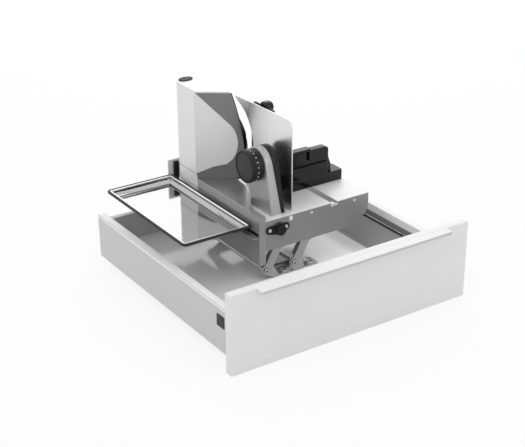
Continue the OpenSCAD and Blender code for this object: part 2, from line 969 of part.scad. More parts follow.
// Silver cover on the diagonal wall: a straight upper edge, a round tip and a flat lower edge
module wall_cover() {
    tip_r = diag_w * 0.6155;
    tip_w = diag_w * 0.862;
    tip_a = 36;
    cz = blade_z + blade_r * 0.28;
    cw = tip_w - tip_r;
    color("silver")
        along_wall(-cover_t, 0)
            polygon(concat(
                [[0, plinth_z1 + top_t], [0, tower_z1 - top_t]],
                [for (a = [tip_a:-6:-tip_a]) [cw + tip_r * cos(a), cz + tip_r * sin(a)]],
                [[tip_w * 0.72, cz - tip_r * 0.76], [tip_w * 0.4, cz - tip_r * 0.86]]
            ));
}

module slice_deck() {
    z0 = table_z + left_rim_h;
    y_shares = [1, 0.79, 0.59, 0.34, 0.08];
    x_shares = [0, 0.75, 0.74, 0.36, 0];
    d = tower_y0 - base_y0 - gauge_y;
    w = gauge_x;
    color("gainsboro")
        translate([base_x0, base_y0 + gauge_y, z0])
            linear_extrude(deck_t)
                polygon([for (i = [0:4]) [w * x_shares[i], d * y_shares[i]]]);
}

module gear_case() {
    color("gray")
        difference() {
            rod_x(blade_y, blade_z, case_r, tower_x1, case_x1);
            rod_x(blade_y, blade_z, shaft_r + run, tower_x1 - over, case_x1 + over);
        }
}

// Everything in front of the diagonal wall's back face, for what ends behind the wall
module wall_front() {
    along_wall(-2 * blade_r, diag_t + touch)
        rect([-blade_r, diag_z0 - over], [2 * blade_r, tower_z1 + over]);
}

// Rim around the blade, open at the front where the blade cuts
module blade_guard() {
    r0 = blade_r + guard_gap;
    a0 = 28;
    a1 = 200;
    color("black")
        guard_rim(r0, guard_lip, a0, a1);
    color("black")
        difference() {
            guard_rim(r0, guard_w, a0, a1);
            wall_front();
        }
    color("black")
        difference() {
            rod_x(blade_y, blade_z, r0 + guard_t, case_x1 - guard_t, case_x1);
            rod_x(blade_y, blade_z, case_r, case_x1 - guard_t - over, case_x1 + over);
            block(
                [case_x1 - 2 * guard_t, blade_y - 2 * blade_r, blade_z - 2 * blade_r],
                [case_x1 + over, blade_y + 2 * blade_r, table_z + left_rim_h + deck_t + touch]
            );
            wall_front();
        }
}

// A ring around the blade from one angle to another, as wide as w
module guard_rim(r, w, a0, a1) {
    translate([blade_x1, blade_y, blade_z])
        rotate([0, -90, 0])
            rotate([0, 0, a0 - 90])
                rotate_extrude(angle = a1 - a0)
                    translate([r, 0])
                        square([guard_t, w]);
}

module motor_shelf() {
    color("silver")
        difference() {
            translate([0, 0, motor_z0 - motor_shelf_t])
                linear_extrude(motor_shelf_t)
                    intersection() {
                        tower_plan(wall_t, tower_x1);
                        rect([tower_x0, tower_y0], [tower_x1, tower_y1]);
                    }
            wall_room();
            translate([worm_x, worm_y, motor_z0 - motor_shelf_t - over])
                cylinder(r = motor_shaft_r + run, h = motor_shelf_t + 2 * over);
        }
}

module motor_stator() {
    air = 0.6;
    color("dimgray")
        translate([worm_x, worm_y, motor_z0])
            difference() {
                cylinder(r = stator_r, h = stator_h);
                translate([0, 0, -over])
                    cylinder(r = rotor_r + air, h = stator_h + 2 * over);
            }
}

module motor_rotor() {
    cap = 6;
    color("peru")
        translate([worm_x, worm_y, 0]) {
            translate([0, 0, motor_z0 + cap])
                cylinder(r = rotor_r, h = stator_h - 2 * cap);
            translate([0, 0, blade_z - worm_half - cap])
                cylinder(r = motor_shaft_r, h = motor_z0 + stator_h - blade_z + worm_half + cap);
            translate([0, 0, blade_z - worm_half])
                cylinder(r = worm_r, h = 2 * worm_half);
        }
}

module drive_gear() {
    tooth_a = 360 / gear_teeth;
    root_r = gear_r - tooth_h;
    color("ivory")
        difference() {
            along_x(gear_x0, gear_x0 + gear_w)
                translate([blade_y, blade_z])
                    polygon([for (i = [0:gear_teeth - 1], k = [0:3])
                        let (a = tooth_a * (i + [0, 0.3, 0.5, 0.8][k]), r = k < 2 ? gear_r : root_r)
                        r * [cos(a), sin(a)]]);
            rod_x(blade_y, blade_z, shaft_r, gear_x0 - over, gear_x0 + gear_w + over);
        }
}

module blade_shaft() {
    color("silver")
        rod_x(blade_y, blade_z, shaft_r, gear_x0 - gear_w / 2, blade_x0);
}

module blade() {
    bevel = 6;
    edge_t = 0.3;
    color("silver")
        translate([blade_x0, blade_y, blade_z])
            rotate([0, 90, 0])
                rotate_extrude($fn = 128)
                    polygon([
                        [0, 0],
                        [blade_r - bevel, 0],
                        [blade_r, blade_t - edge_t],
                        [blade_r, blade_t],
                        [0, blade_t]
                    ]);
}

module blade_cap() {
    cap_t = 2.5;
    slot_w = 2;
    color("gray")
        difference() {
            rod_x(blade_y, blade_z, hub_r * 0.6, blade_x1, blade_x1 + cap_t);
            block(
                [blade_x1 + cap_t / 2, blade_y - hub_r, blade_z - slot_w / 2],
                [blade_x1 + cap_t + over, blade_y + hub_r, blade_z + slot_w / 2]
            );
        }
}

// Outline of the support arm in Y and Z: a wide foot and a round head
module arm_outline(inset) {
    r = arm_r - inset;
    foot_gap = 2;
    foot_y0 = gauge_y0 + foot_gap + inset;
    foot_y1 = knob_y + arm_r * 0.6 - inset;
    z0 = table_z + inset;
    polygon(concat(
        [[foot_y0, z0]],
        [for (a = [165:-15:-15]) [knob_y + r * cos(a), knob_z + r * sin(a)]],
        [[foot_y1, z0]]
    ));
}

module support_arm() {
    color("lightgray")
        difference() {
            along_x(arm_x0, arm_x1)
                arm_outline(0);
            along_x(arm_x0 + wall_t, arm_x1 + over)
                arm_outline(wall_t);
            rod_x(knob_y, knob_z, shaft_r + run, arm_x0 - over, arm_x0 + wall_t + over);
        }
}

module guide_rod() {
    color("silver")
        rod_x(knob_y, guide_z, guide_r, arm_x0 + wall_t, gauge_x0 - slice_max - wall_t);
}

// Outline of the gauge plate: round front corner, and a rear edge that runs round the blade
module gauge_outline() {
    near = blade_r + gauge_gap;
    far = blade_r + gauge_gap_top;
    a0 = -asin((blade_h - touch) / near);
    a1 = 69.4;
    ramp = 50;
    stretch = (gauge_z1 - blade_z - gauge_r * 0.65) / (far * sin(a1));
    cy = gauge_y0 + gauge_r;
    cz = gauge_z1 - gauge_r;
    polygon(concat(
        [[gauge_y0, table_z + touch]],
        [for (a = [180:-10:90]) [cy + gauge_r * cos(a), cz + gauge_r * sin(a)]],
        [[blade_y - far * cos(a1) + touch, gauge_z1 - gauge_r / 3]],
        [for (i = [0:20])
            let (a = a1 + (a0 - a1) * i / 20, r = near + (far - near) * min(1, max(0, a) / ramp))
            [blade_y - r * cos(a), blade_z + r * sin(a) * (a > 0 ? stretch : 1)]]
    ));
}

module gauge_plate() {
    color("gainsboro")
        along_x(gauge_x0, gauge_x1)
            gauge_outline();
}

module gauge_slider() {
    half = 12;
    length = 31;
    left = gauge_x0 - length;
    color("silver")
        difference() {
            block([left, knob_y - half, guide_z - half], [gauge_x0, knob_y + half, guide_z + half]);
            rod_x(knob_y, guide_z, guide_r + run, left - over, gauge_x0 - over);
        }
}

module thickness_knob() {
    rim = 4;
    color("black") {
        difference() {
            rod_x(knob_y, knob_z, knob_r, knob_x0, knob_x1);
            rod_x(knob_y, knob_z, knob_r - rim, knob_x0 - over, knob_x0 + rim);
        }
        rod_x(knob_y, knob_z, shaft_r, knob_x1 - over, arm_x0 + wall_t + rim);
        rod_x(knob_y, knob_z, knob_r / 3, knob_x1, arm_x0 - touch);
    }
}

module knob_face() {
    rim = 4;
    color("dimgray")
        rod_x(knob_y, knob_z, knob_r - rim, knob_x0 + over, knob_x0 + rim);
}

module carriage_body() {
    z0 = carriage_z0;
    sill_z = table_z + step_low;
    wall_y0 = carriage_y0 + tier_d;
    top = table_z + step_top;
    head_x1 = carriage_x0 + head_w;
    color("black") {
        block([carriage_x0 + touch, carriage_y0 + touch, z0], [carriage_x1 - touch, carriage_y1, z0 + carriage_t]);
        difference() {
            block([carriage_x0, carriage_y0, z0 + over], [carriage_x1, carriage_y0 + sill_d, sill_z]);
            block(
                [carriage_x0 + carriage_t, wall_y0 + carriage_t, z0 + carriage_t - over],
                [carriage_x1 - carriage_t, carriage_y0 + sill_d + over, sill_z - carriage_t]
            );
        }
        block(
            [carriage_x0 + touch, carriage_y0 + touch, sill_z - over],
            [carriage_x0 + tier_w, wall_y0 + over, table_z + step_mid]
        );
        block(
            [carriage_x0 + 2 * touch, wall_y0, sill_z - 2 * over],
            [head_x1 - over, wall_y0 + carriage_t, top - touch]
        );
        block(
            [head_x1 - block_w, wall_y0 + touch, sill_z - 3 * over],
            [head_x1, wall_y0 + block_d, top]
        );
    }
}

module carriage_guide() {
    inset = 12;
    color("dimgray")
        block(
            [groove_x0 + touch, carriage_y0 + inset, plate_z0 + touch],
            [groove_x1 - touch, carriage_y1 - inset, carriage_z0]
        );
}

// Outline of the remnant holder's grip in Y and Z
module grip_outline(y0, z1) {
    grip_d = plate_d;
    grip_h = 32;
    shares = [[0, -0.6], [0.09, -0.16], [0.19, 0], [0.36, 0], [1, -0.41], [1, -0.75], [0, -1]];
    polygon([for (p = shares) [y0 + p[0] * grip_d, z1 + p[1] * grip_h]]);
}

module remnant_holder() {
    x0 = carriage_x0 + carriage_t - over;
    plate = 4;
    wall_y0 = carriage_y0 + tier_d;
    y0 = wall_y0 + carriage_t + touch;
    y1 = y0 + plate_d;
    front_y0 = carriage_y0 + over;
    sill_z = table_z + step_low;
    saddle_z = table_z + step_top + touch;
    arm_h = 9;
    arm_z1 = saddle_z + arm_h;
    arm_x1 = carriage_x0 + head_w - block_w - over;
    leg_w = 6;
    leg_h = 22;
    rib_w = 65;
    rib_h = 35;
    rib_z1 = saddle_z + rib_h;
    z1 = table_z + holder_h;
    grip_w = 30;
    pin_len = 4;
    pin = 1.5;
    pin_step = 18;
    color("black") {
        block([x0, y0, sill_z + touch], [x0 + plate, y1, z1 - grip_w]);
        block(
            [x0, carriage_y0 + sill_d + touch, carriage_z0 + carriage_t + touch],
            [x0 + plate, y1, sill_z + 2 * touch]
        );
        block([x0, front_y0, saddle_z], [arm_x1, y0 + leg_w, arm_z1]);
        block([arm_x1 - leg_w, front_y0, saddle_z - leg_h], [arm_x1, wall_y0 - touch, arm_z1]);
        block([x0, y0, saddle_z], [x0 + rib_w, y0 + leg_w, rib_z1]);
        along_x(x0 + plate / 4, x0 + grip_w)
            grip_outline(wall_y0 - tier_d, z1);
        for (y = [y0 + pin_step : pin_step : y1 - pin_step], z = [sill_z + pin_step / 2 : pin_step : saddle_z])
            rod_x(y, z, pin, x0 - pin_len, x0);
    }
}

module tray() {
    a = [tray_x0, tray_y0];
    b = [tray_x1, tray_y1];
    flange = [over, over];
    pan = [pan_inset, pan_inset];
    hole = pan + [tray_t, tray_t];
    leg_w = 3;
    leg_d = ledge_d / 4;
    color("lightgray") {
        difference() {
            union() {
                translate([0, 0, tray_z0])
                    linear_extrude(tray_h)
                        round_rect(a + pan, b - pan, tray_r - pan_inset);
                translate([0, 0, tray_z1 - tray_t])
                    linear_extrude(tray_t)
                        round_rect(a + flange, b - flange, tray_r - over);
            }
            translate([0, 0, tray_z0 + tray_t])
                linear_extrude(tray_h)
                    round_rect(a + hole, b - hole, tray_r - pan_inset - tray_t);
        }
        for (y = ledge_y)
            block(
                [leg_x0, y + ledge_d - leg_d - touch, ledge_z + touch],
                [leg_x0 + leg_w, y + ledge_d - touch, tray_z1 - tray_t / 2]
            );
    }
}

module tray_rim() {
    a = [tray_x0, tray_y0];
    b = [tray_x1, tray_y1];
    ring = [rim_ring_w, rim_ring_w];
    color("dimgray")
        translate([0, 0, tray_z1])
            linear_extrude(rim_ring_t)
                difference() {
                    round_rect(a, b, tray_r);
                    rect(a + ring, b - ring);
                }
}

placed() color("silver") both_sides() cabinet_rail();  // cabinet_rails
placed() color("silver") both_sides() middle_rail();  // middle_rails
placed() color("silver") both_sides() drawer_rail();  // drawer_rails
placed() front_panel();
placed() handle_lip();
placed() mirror([1, 0, 0]) side();  // side_left
placed() side();  // side_right
placed() both_sides() side_inlay();  // side_inlays
placed() both_sides() side_bead();  // side_beads
placed() both_sides() side_liner();  // side_liners
placed() drawer_bottom();
placed() rear_panel();
placed() both_sides() front_bracket();  // front_brackets
placed() both_sides() side_cover();  // side_covers
placed() mount_bracket();  // mount_bracket_front
placed() rear_twin() mount_bracket();  // mount_bracket_rear
placed() {
    bracket_screws();
    rear_twin() bracket_screws();
}
placed() link_front(pivot_x);  // link_a_front
placed() link_rear(pivot_x);  // link_a_rear
placed() pivot_pin(pivot_x);  // pivot_pin_a
placed() link_front(pivot_x + pivot_span);  // link_b_front
placed() link_rear(pivot_x + pivot_span);  // link_b_rear
placed() pivot_pin(pivot_x + pivot_span);  // pivot_pin_b
placed() cheek_front();
placed() cheek(base_y1 - wall_t);  // cheek_rear
placed() left_wall();
placed() table_left();
placed() table_right();
placed() upper_pins();
placed() cheek_screws();
placed() lock_flange();
placed() lock_button();
placed() plinth();
placed() motor_housing();
placed() tower_top();
placed() diagonal_wall();
placed() wall_cover();
placed() slice_deck();
placed() gear_case();
placed() blade_guard();
placed() motor_shelf();
placed() motor_stator();
placed() motor_rotor();
placed() drive_gear();
placed() blade_shaft();
placed() blade();
placed() blade_cap();
placed() support_arm();
placed() guide_rod();
placed() gauge_plate();
placed() gauge_slider();
placed() thickness_knob();
placed() knob_face();
placed() carriage_body();
placed() carriage_guide();
placed() remnant_holder();
placed() tray();
placed() tray_rim();
placed() switch_button();
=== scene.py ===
"""Kitchen drawer with a swing-up food slicer, dressed for a plain studio view.

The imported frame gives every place. Each class dresses one sub-assembly with surfaces that are
worked out as numpy arrays, and with finishes whose patterns lie on Object coordinates.
All lengths are metres.
"""
import json
import logging
import math
from dataclasses import dataclass, field
from enum import Enum
from typing import Dict, List, Sequence, Tuple

import bmesh
import bpy
import numpy as np
from mathutils import Matrix, Vector

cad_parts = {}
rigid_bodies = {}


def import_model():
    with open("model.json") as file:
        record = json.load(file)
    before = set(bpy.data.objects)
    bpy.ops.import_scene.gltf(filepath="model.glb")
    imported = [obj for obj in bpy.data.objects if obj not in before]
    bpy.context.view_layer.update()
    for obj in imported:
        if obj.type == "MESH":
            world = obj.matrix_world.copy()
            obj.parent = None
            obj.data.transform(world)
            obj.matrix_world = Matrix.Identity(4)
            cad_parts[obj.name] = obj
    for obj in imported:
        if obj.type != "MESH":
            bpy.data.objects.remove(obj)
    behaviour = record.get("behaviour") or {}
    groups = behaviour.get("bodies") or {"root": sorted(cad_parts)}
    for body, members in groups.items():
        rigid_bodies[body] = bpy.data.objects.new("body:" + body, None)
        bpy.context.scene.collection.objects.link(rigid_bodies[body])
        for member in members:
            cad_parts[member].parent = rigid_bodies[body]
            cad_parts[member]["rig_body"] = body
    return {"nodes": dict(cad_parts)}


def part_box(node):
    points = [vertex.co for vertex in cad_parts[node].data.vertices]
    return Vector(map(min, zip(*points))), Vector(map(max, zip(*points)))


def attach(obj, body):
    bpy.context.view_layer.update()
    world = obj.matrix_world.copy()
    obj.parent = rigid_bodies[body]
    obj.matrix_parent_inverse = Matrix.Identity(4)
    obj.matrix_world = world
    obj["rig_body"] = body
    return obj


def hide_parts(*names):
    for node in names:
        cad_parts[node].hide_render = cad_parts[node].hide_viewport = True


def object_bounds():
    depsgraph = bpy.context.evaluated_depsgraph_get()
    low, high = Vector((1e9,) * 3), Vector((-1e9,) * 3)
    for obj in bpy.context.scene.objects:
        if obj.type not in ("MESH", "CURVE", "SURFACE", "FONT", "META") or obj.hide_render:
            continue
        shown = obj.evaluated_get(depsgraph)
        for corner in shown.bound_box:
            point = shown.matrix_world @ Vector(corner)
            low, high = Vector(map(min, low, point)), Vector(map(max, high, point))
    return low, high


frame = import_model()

LOG = logging.getLogger("slicer")
CAD_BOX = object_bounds()

Array = np.ndarray
Part = Tuple[Array, List[List[int]]]
Point2 = Tuple[float, float]
Point3 = Tuple[float, float, float]
Colour = Point3

WELD = 2e-6  # points closer than this are merged
SHARP = math.radians(38)  # edges of a new piece above this angle stay sharp
FLAT = math.radians(0.4)  # CAD triangles within this angle are one plane
BROKEN = math.radians(28)  # CAD edges above this angle are broken
HEXAGON = 6  # sides of a screw's socket
MM = 0.001
PATCHES = 14.0  # soft patches of a finish to the metre
COAT_ROUGHNESS = 0.08
STROKE = 0.012  # how far a brushed pattern is squeezed along its scratches
WHITE = (1.0, 1.0, 1.0, 1.0)


class Axis(Enum):
    """Row axis that a flat outline is made solid along; the value says where u, v and w go."""

    X = (1, 2, 0)
    Y = (0, 2, 1)
    Z = (0, 1, 2)


class Grain(Enum):
    """Kind of fine surface pattern that a finish carries."""

    SMOOTH = "smooth"
    PEEL = "orange peel of a sprayed lacquer"
    BRUSHED_X = "fine scratches along X"
    BRUSHED_Y = "fine scratches along Y"
    BRUSHED_Z = "fine scratches along Z"
    STIPPLE = "moulded plastic grain"
    TURNED = "rings about a turned centre"


def place(axis: Axis, u: Array, v: Array, w: Array) -> Array:
    """Puts outline coordinates u, v and depth w into row coordinates.

    Args:
        axis: Direction of the depth.
        u: First outline coordinate.
        v: Second outline coordinate.
        w: Depth along the axis.

    Returns:
        Points with a last dimension of 3.
    """
    u, v, w = np.broadcast_arrays(u, v, w)
    out = np.empty(u.shape + (3,))
    for source, target in zip((u, v, w), axis.value):
        out[..., target] = source
    return out


def clean(points: Array) -> Array:
    """Drops points that repeat the one before, and turns a closed outline counter-clockwise."""
    points = points[np.linalg.norm(points - np.roll(points, 1, axis=0), axis=1) > 1e-7]
    return points if area(points) > 0 else points[::-1]


def area(points: Array) -> float:
    """Signed area of a closed outline, by the shoelace sum."""
    x, y = points[:, 0], points[:, 1]
    return float(np.sum(x * np.roll(y, -1) - np.roll(x, -1) * y) / 2)


def miter(outline: Array, closed: bool = True) -> Array:
    """Outward vectors that move both edges at a point by one unit when the point moves along them.

    Args:
        outline: Points in order, counter-clockwise when closed.
        closed: Whether the last point joins the first.

    Returns:
        One vector for each point: the sum of both edge normals over one plus their product.
    """
    edge = np.roll(outline, -1, axis=0) - outline
    normal = np.stack([edge[:, 1], -edge[:, 0]], axis=1)
    normal /= np.maximum(np.linalg.norm(normal, axis=1), 1e-12)[:, None]
    previous = np.roll(normal, 1, axis=0)
    if not closed:
        previous[0] = normal[0]
        normal[-1] = previous[-1]
    return (normal + previous) / (1 + np.sum(normal * previous, axis=1))[:, None]


def arcs(corner: Array, radius: Array, steps: int) -> Array:
    """Puts an arc that touches both edges in place of each corner of a closed outline.

    The arc's centre lies on the bisector, at radius over the sine of half the corner's angle,
    and the arc turns from one touching point to the other by a spherical blend.

    Args:
        corner: Corners in order.
        radius: Radius at each corner; none leaves the corner as repeated points.
        steps: Number of segments in each arc.

    Returns:
        Steps plus one points for each corner.
    """
    before = np.roll(corner, 1, axis=0) - corner
    after = np.roll(corner, -1, axis=0) - corner
    before /= np.linalg.norm(before, axis=1)[:, None]
    after /= np.linalg.norm(after, axis=1)[:, None]
    angle = np.arccos(np.clip(np.sum(before * after, axis=1), -1.0, 1.0))
    angle = np.minimum(angle, np.pi - 1e-4)
    bisector = before + after
    bisector /= np.maximum(np.linalg.norm(bisector, axis=1), 1e-9)[:, None]
    centre = corner + bisector * (radius / np.sin(angle / 2))[:, None]
    reach = (radius / np.tan(angle / 2))[:, None]
    first = corner + before * reach - centre
    last = corner + after * reach - centre
    turn = (np.pi - angle)[:, None, None]
    share = np.linspace(0.0, 1.0, steps + 1)[None, :, None]
    arc = np.sin((1 - share) * turn) * first[:, None] + np.sin(share * turn) * last[:, None]
    return (centre[:, None] + arc / np.sin(turn)).reshape(-1, 2)


class Outline:
    """A closed outline, counter-clockwise, that can be drawn again further in."""

    def at(self, inset: float) -> Array:
        """Points of the outline moved inwards by a distance."""
        raise NotImplementedError


@dataclass(frozen=True)
class Drawn(Outline):
    """An outline given by its points alone.

    Attributes:
        points: Points in order.
    """

    points: Array

    def at(self, inset: float) -> Array:
        """Moves each point along its miter."""
        points = clean(self.points)
        return points - miter(points) * inset


@dataclass(frozen=True)
class Cornered(Outline):
    """A polygon with rounded corners.

    Attributes:
        points: Corners in order.
        radii: One radius for all corners, or one for each.
        steps: Segments in each corner's arc.
    """

    points: Sequence[Point2]
    radii: Sequence[float] | float
    steps: int = 6

    def at(self, inset: float) -> Array:
        """Moves the edges inwards; outer corners get tighter by it and inner ones wider."""
        corner = np.asarray(self.points, float)
        radius = np.broadcast_to(np.asarray(self.radii, float), (len(corner),))
        if area(corner) < 0:
            corner, radius = corner[::-1], radius[::-1]
        before = corner - np.roll(corner, 1, axis=0)
        after = np.roll(corner, -1, axis=0) - corner
        outer = before[:, 0] * after[:, 1] - before[:, 1] * after[:, 0] > 0
        radius = np.maximum(np.where(outer, radius - inset, radius + inset), 0.0)
        return arcs(corner - miter(corner) * inset, radius, self.steps)


@dataclass(frozen=True)
class Belt(Outline):
    """The outline of a belt pulled tight about several discs.

    Attributes:
        centres: Centres of the discs.
        radii: Their radii.
        steps: Number of directions.
    """

    centres: Sequence[Point2]
    radii: Sequence[float]
    steps: int = 72

    def at(self, inset: float) -> Array:
        """For each direction, takes the point of the disc that reaches furthest that way."""
        turn = np.linspace(0.0, 2 * np.pi, self.steps, endpoint=False)
        way = np.stack([np.cos(turn), np.sin(turn)], axis=1)
        centre = np.asarray(self.centres, float)
        radius = np.asarray(self.radii, float) - inset
        best = np.argmax(way @ centre.T + radius, axis=1)
        return centre[best] + way * radius[best][:, None]


def oblong(low: Point2, high: Point2, radius: float, steps: int = 6) -> Cornered:
    """Rectangle between two corners with equal round corners."""
    corners = [(low[0], low[1]), (high[0], low[1]), (high[0], high[1]), (low[0], high[1])]
    return Cornered(corners, radius, steps)


def ribbon(path: Sequence[Point2], thickness: float, radius: float = 0.0, steps: int = 4) -> Drawn:
    """Closed outline of a folded sheet, half its thickness on each side of an open path.

    Args:
        path: Corners of the sheet's middle line.
        thickness: Thickness of the sheet.
        radius: Radius of the folds.
        steps: Segments in each fold.

    Returns:
        The outline.
    """
    line = np.asarray(path, float)
    if radius > 0 and len(line) > 2:
        folds = np.full(len(line), radius)
        folds[[0, -1]] = 0.0
        line = arcs(line, folds, steps)[steps:-steps]
    side = miter(line, closed=False) * thickness / 2
    return Drawn(np.vstack([line + side, (line - side)[::-1]]))


def surface(grid: Array, capped: bool = True) -> Part:
    """Joins neighbouring rows and columns of a grid of points by quads; each row is a ring.

    Args:
        grid: Points, with dimensions for rows, columns and coordinates.
        capped: Whether the first and last rows are filled, or else joined to each other.

    Returns:
        Points and faces.
    """
    rows, columns = grid.shape[:2]
    index = np.arange(rows * columns).reshape(rows, columns)
    after = index[1:] if capped else np.roll(index, -1, axis=0)
    here = index[:len(after)]
    quads = [here, np.roll(here, -1, axis=1), np.roll(after, -1, axis=1), after]
    faces = np.stack(quads, axis=-1).reshape(-1, 4).tolist()
    if capped:
        faces += [index[0, ::-1].tolist(), index[-1].tolist()]
    return grid.reshape(-1, 3), faces


def loft(outline: Outline, profile: Array, axis: Axis, capped: bool = True) -> Part:
    """Carries a profile round a closed outline.

    Row i is the outline at the profile's first value, lifted to its second.

    Args:
        outline: Closed outline.
        profile: Rows of inset and depth; a profile that isn't capped closes on itself.
        axis: Direction of the depth.
        capped: Whether the first and last rows are filled.

    Returns:
        Points and faces.
    """
    ring = np.stack([outline.at(inset) for inset in profile[:, 0]])
    return surface(place(axis, ring[..., 0], ring[..., 1], profile[:, 1][:, None]), capped)


def edge_profile(low: float, high: float, edge: float, steps: int = 3) -> Array:
    """Profile of a plate with rounded rims: quarter circles at both ends and a narrow flat band."""
    turn = np.linspace(0.0, np.pi / 2, steps + 1)
    inset = edge * (1 - np.sin(turn))
    rise = edge * (1 - np.cos(turn))
    band = edge * 1.25 + 2e-5
    lower = np.stack([inset, low + rise], axis=1)
    upper = np.stack([inset[::-1], high - rise[::-1]], axis=1)
    return np.vstack([[band, low], lower, upper, [band, high]])


def slab(outline: Outline, low: float, high: float, axis: Axis, edge: float = 0.0005,
         steps: int = 3) -> Part:
    """A plate with rounded rims over a closed outline.

    Args:
        outline: Closed outline.
        low: Depth of one face.
        high: Depth of the other face.
        axis: Direction of the depth.
        edge: Radius of the rims.
        steps: Segments across each rim.

    Returns:
        Points and faces.
    """
    return loft(outline, edge_profile(low, high, edge, steps), axis)


def block(low: Sequence[float], high: Sequence[float], edge: float = 0.0008,
          axis: Axis = Axis.Z, corner: float | None = None) -> Part:
    """A rounded block between two corners of the row frame."""
    u, v, w = axis.value
    radius = edge if corner is None else corner
    outline = oblong((low[u], low[v]), (high[u], high[v]), radius, 4)
    return slab(outline, low[w], high[w], axis, edge)


def turned(profile: Sequence[Point2], centre: Point2, axis: Axis, steps: int = 48,
           waves: int = 0, depth: float = 0.0, corners: int = 0, corner_rows: int = 0) -> Part:
    """A solid of revolution, whose rim may be scalloped and whose socket may be a polygon.

    The radius is the profile's, less depth times half of one plus the cosine of waves times the
    turn. In the last corner_rows rows it is a regular polygon's: the apothem over the cosine of
    the angle to the nearest side's middle.

    Args:
        profile: Rows of radius and depth; both ends close at the axis or in a flat face.
        centre: Place of the axis in the outline's plane.
        axis: Direction of the depth.
        steps: Points round the axis.
        waves: Number of scallops.
        depth: Depth of the scallops, where the radius is the profile's largest.
        corners: Number of sides of the socket.
        corner_rows: Number of rows at the end that belong to the socket.

    Returns:
        Points and faces.
    """
    rows = np.asarray(profile, float)
    turn = np.linspace(0.0, 2 * np.pi, steps, endpoint=False)
    radius = np.repeat(rows[:, :1], steps, axis=1)
    if waves:
        rim = radius > rows[:, 0].max() - 1e-6
        radius = radius - rim * depth * (1 + np.cos(waves * turn)) / 2
    if corners:
        side = 2 * np.pi / corners
        shape = math.cos(side / 2) / np.cos((turn + side / 2) % side - side / 2)
        radius[-corner_rows:] *= shape
    u = centre[0] + radius * np.cos(turn)
    v = centre[1] + radius * np.sin(turn)
    return surface(place(axis, u, v, rows[:, 1:2]))


def tube(path: Array, radius: float, steps: int = 12) -> Part:
    """A round bar along an open path.

    Each ring stands square to the path's direction there; its two axes come from the cross
    products of that direction with a fixed vector that the path never follows.

    Args:
        path: Points of the middle line.
        radius: Radius of the bar.
        steps: Points in each ring.

    Returns:
        Points and faces.
    """
    ahead = np.gradient(path, axis=0)
    ahead /= np.linalg.norm(ahead, axis=1)[:, None]
    fixed = np.eye(3)[int(np.argmin(np.abs(ahead).max(axis=0)))]
    side = np.cross(ahead, fixed)
    side /= np.linalg.norm(side, axis=1)[:, None]
    up = np.cross(side, ahead)
    turn = np.linspace(0.0, 2 * np.pi, steps, endpoint=False)[None, :, None]
    ring = np.cos(turn) * side[:, None] + np.sin(turn) * up[:, None]
    return surface(path[:, None] + radius * ring)


def near(u: float, v: float, steps: Sequence[Point2]) -> List[Point2]:
    """Outline points at steps from one point; the steps are in millimetres."""
    return [(u + du * MM, v + dv * MM) for du, dv in steps]


def mirrored(parts: Sequence[Part], axis: int = 0, middle: float = 0.0) -> List[Part]:
    """The same parts on the other side of the plane where one coordinate is at the middle."""
    flip, shift = np.ones(3), np.zeros(3)
    flip[axis], shift[axis] = -1.0, 2 * middle
    return [(points * flip + shift, [face[::-1] for face in faces]) for points, faces in parts]


def both(part: Part) -> List[Part]:
    """A part and its mirror image on the drawer's other side."""
    return [part, *mirrored([part])]


def feed(tree: bpy.types.NodeTree, shader: bpy.types.Node, inputs: Dict[str | int, object]) -> None:
    """Sets inputs of a shader node to values, or links them to sockets."""
    for name, value in inputs.items():
        if isinstance(value, bpy.types.NodeSocket):
            tree.links.new(value, shader.inputs[name])
        else:
            shader.inputs[name].default_value = value


def add_node(tree: bpy.types.NodeTree, kind: str, inputs: Dict[str | int, object],
             **settings: str) -> bpy.types.Node:
    """Adds a shader node.

    Args:
        tree: Node tree that gets it.
        kind: Its type, without the start that all shader nodes share.
        inputs: Value of each input, or the socket that feeds it.
        settings: Properties of the node, set before its inputs.

    Returns:
        The node.
    """
    made = tree.nodes.new("ShaderNode" + kind)
    for name, value in settings.items():
        setattr(made, name, value)
    feed(tree, made, inputs)
    return made


def noise(tree: bpy.types.NodeTree, where: bpy.types.NodeSocket, scale: float,
          detail: float) -> bpy.types.NodeSocket:
    """Adds a noise texture and returns its factor socket."""
    made = add_node(tree, "TexNoise", {"Scale": scale, "Detail": detail, "Vector": where})
    return made.outputs["Fac"]


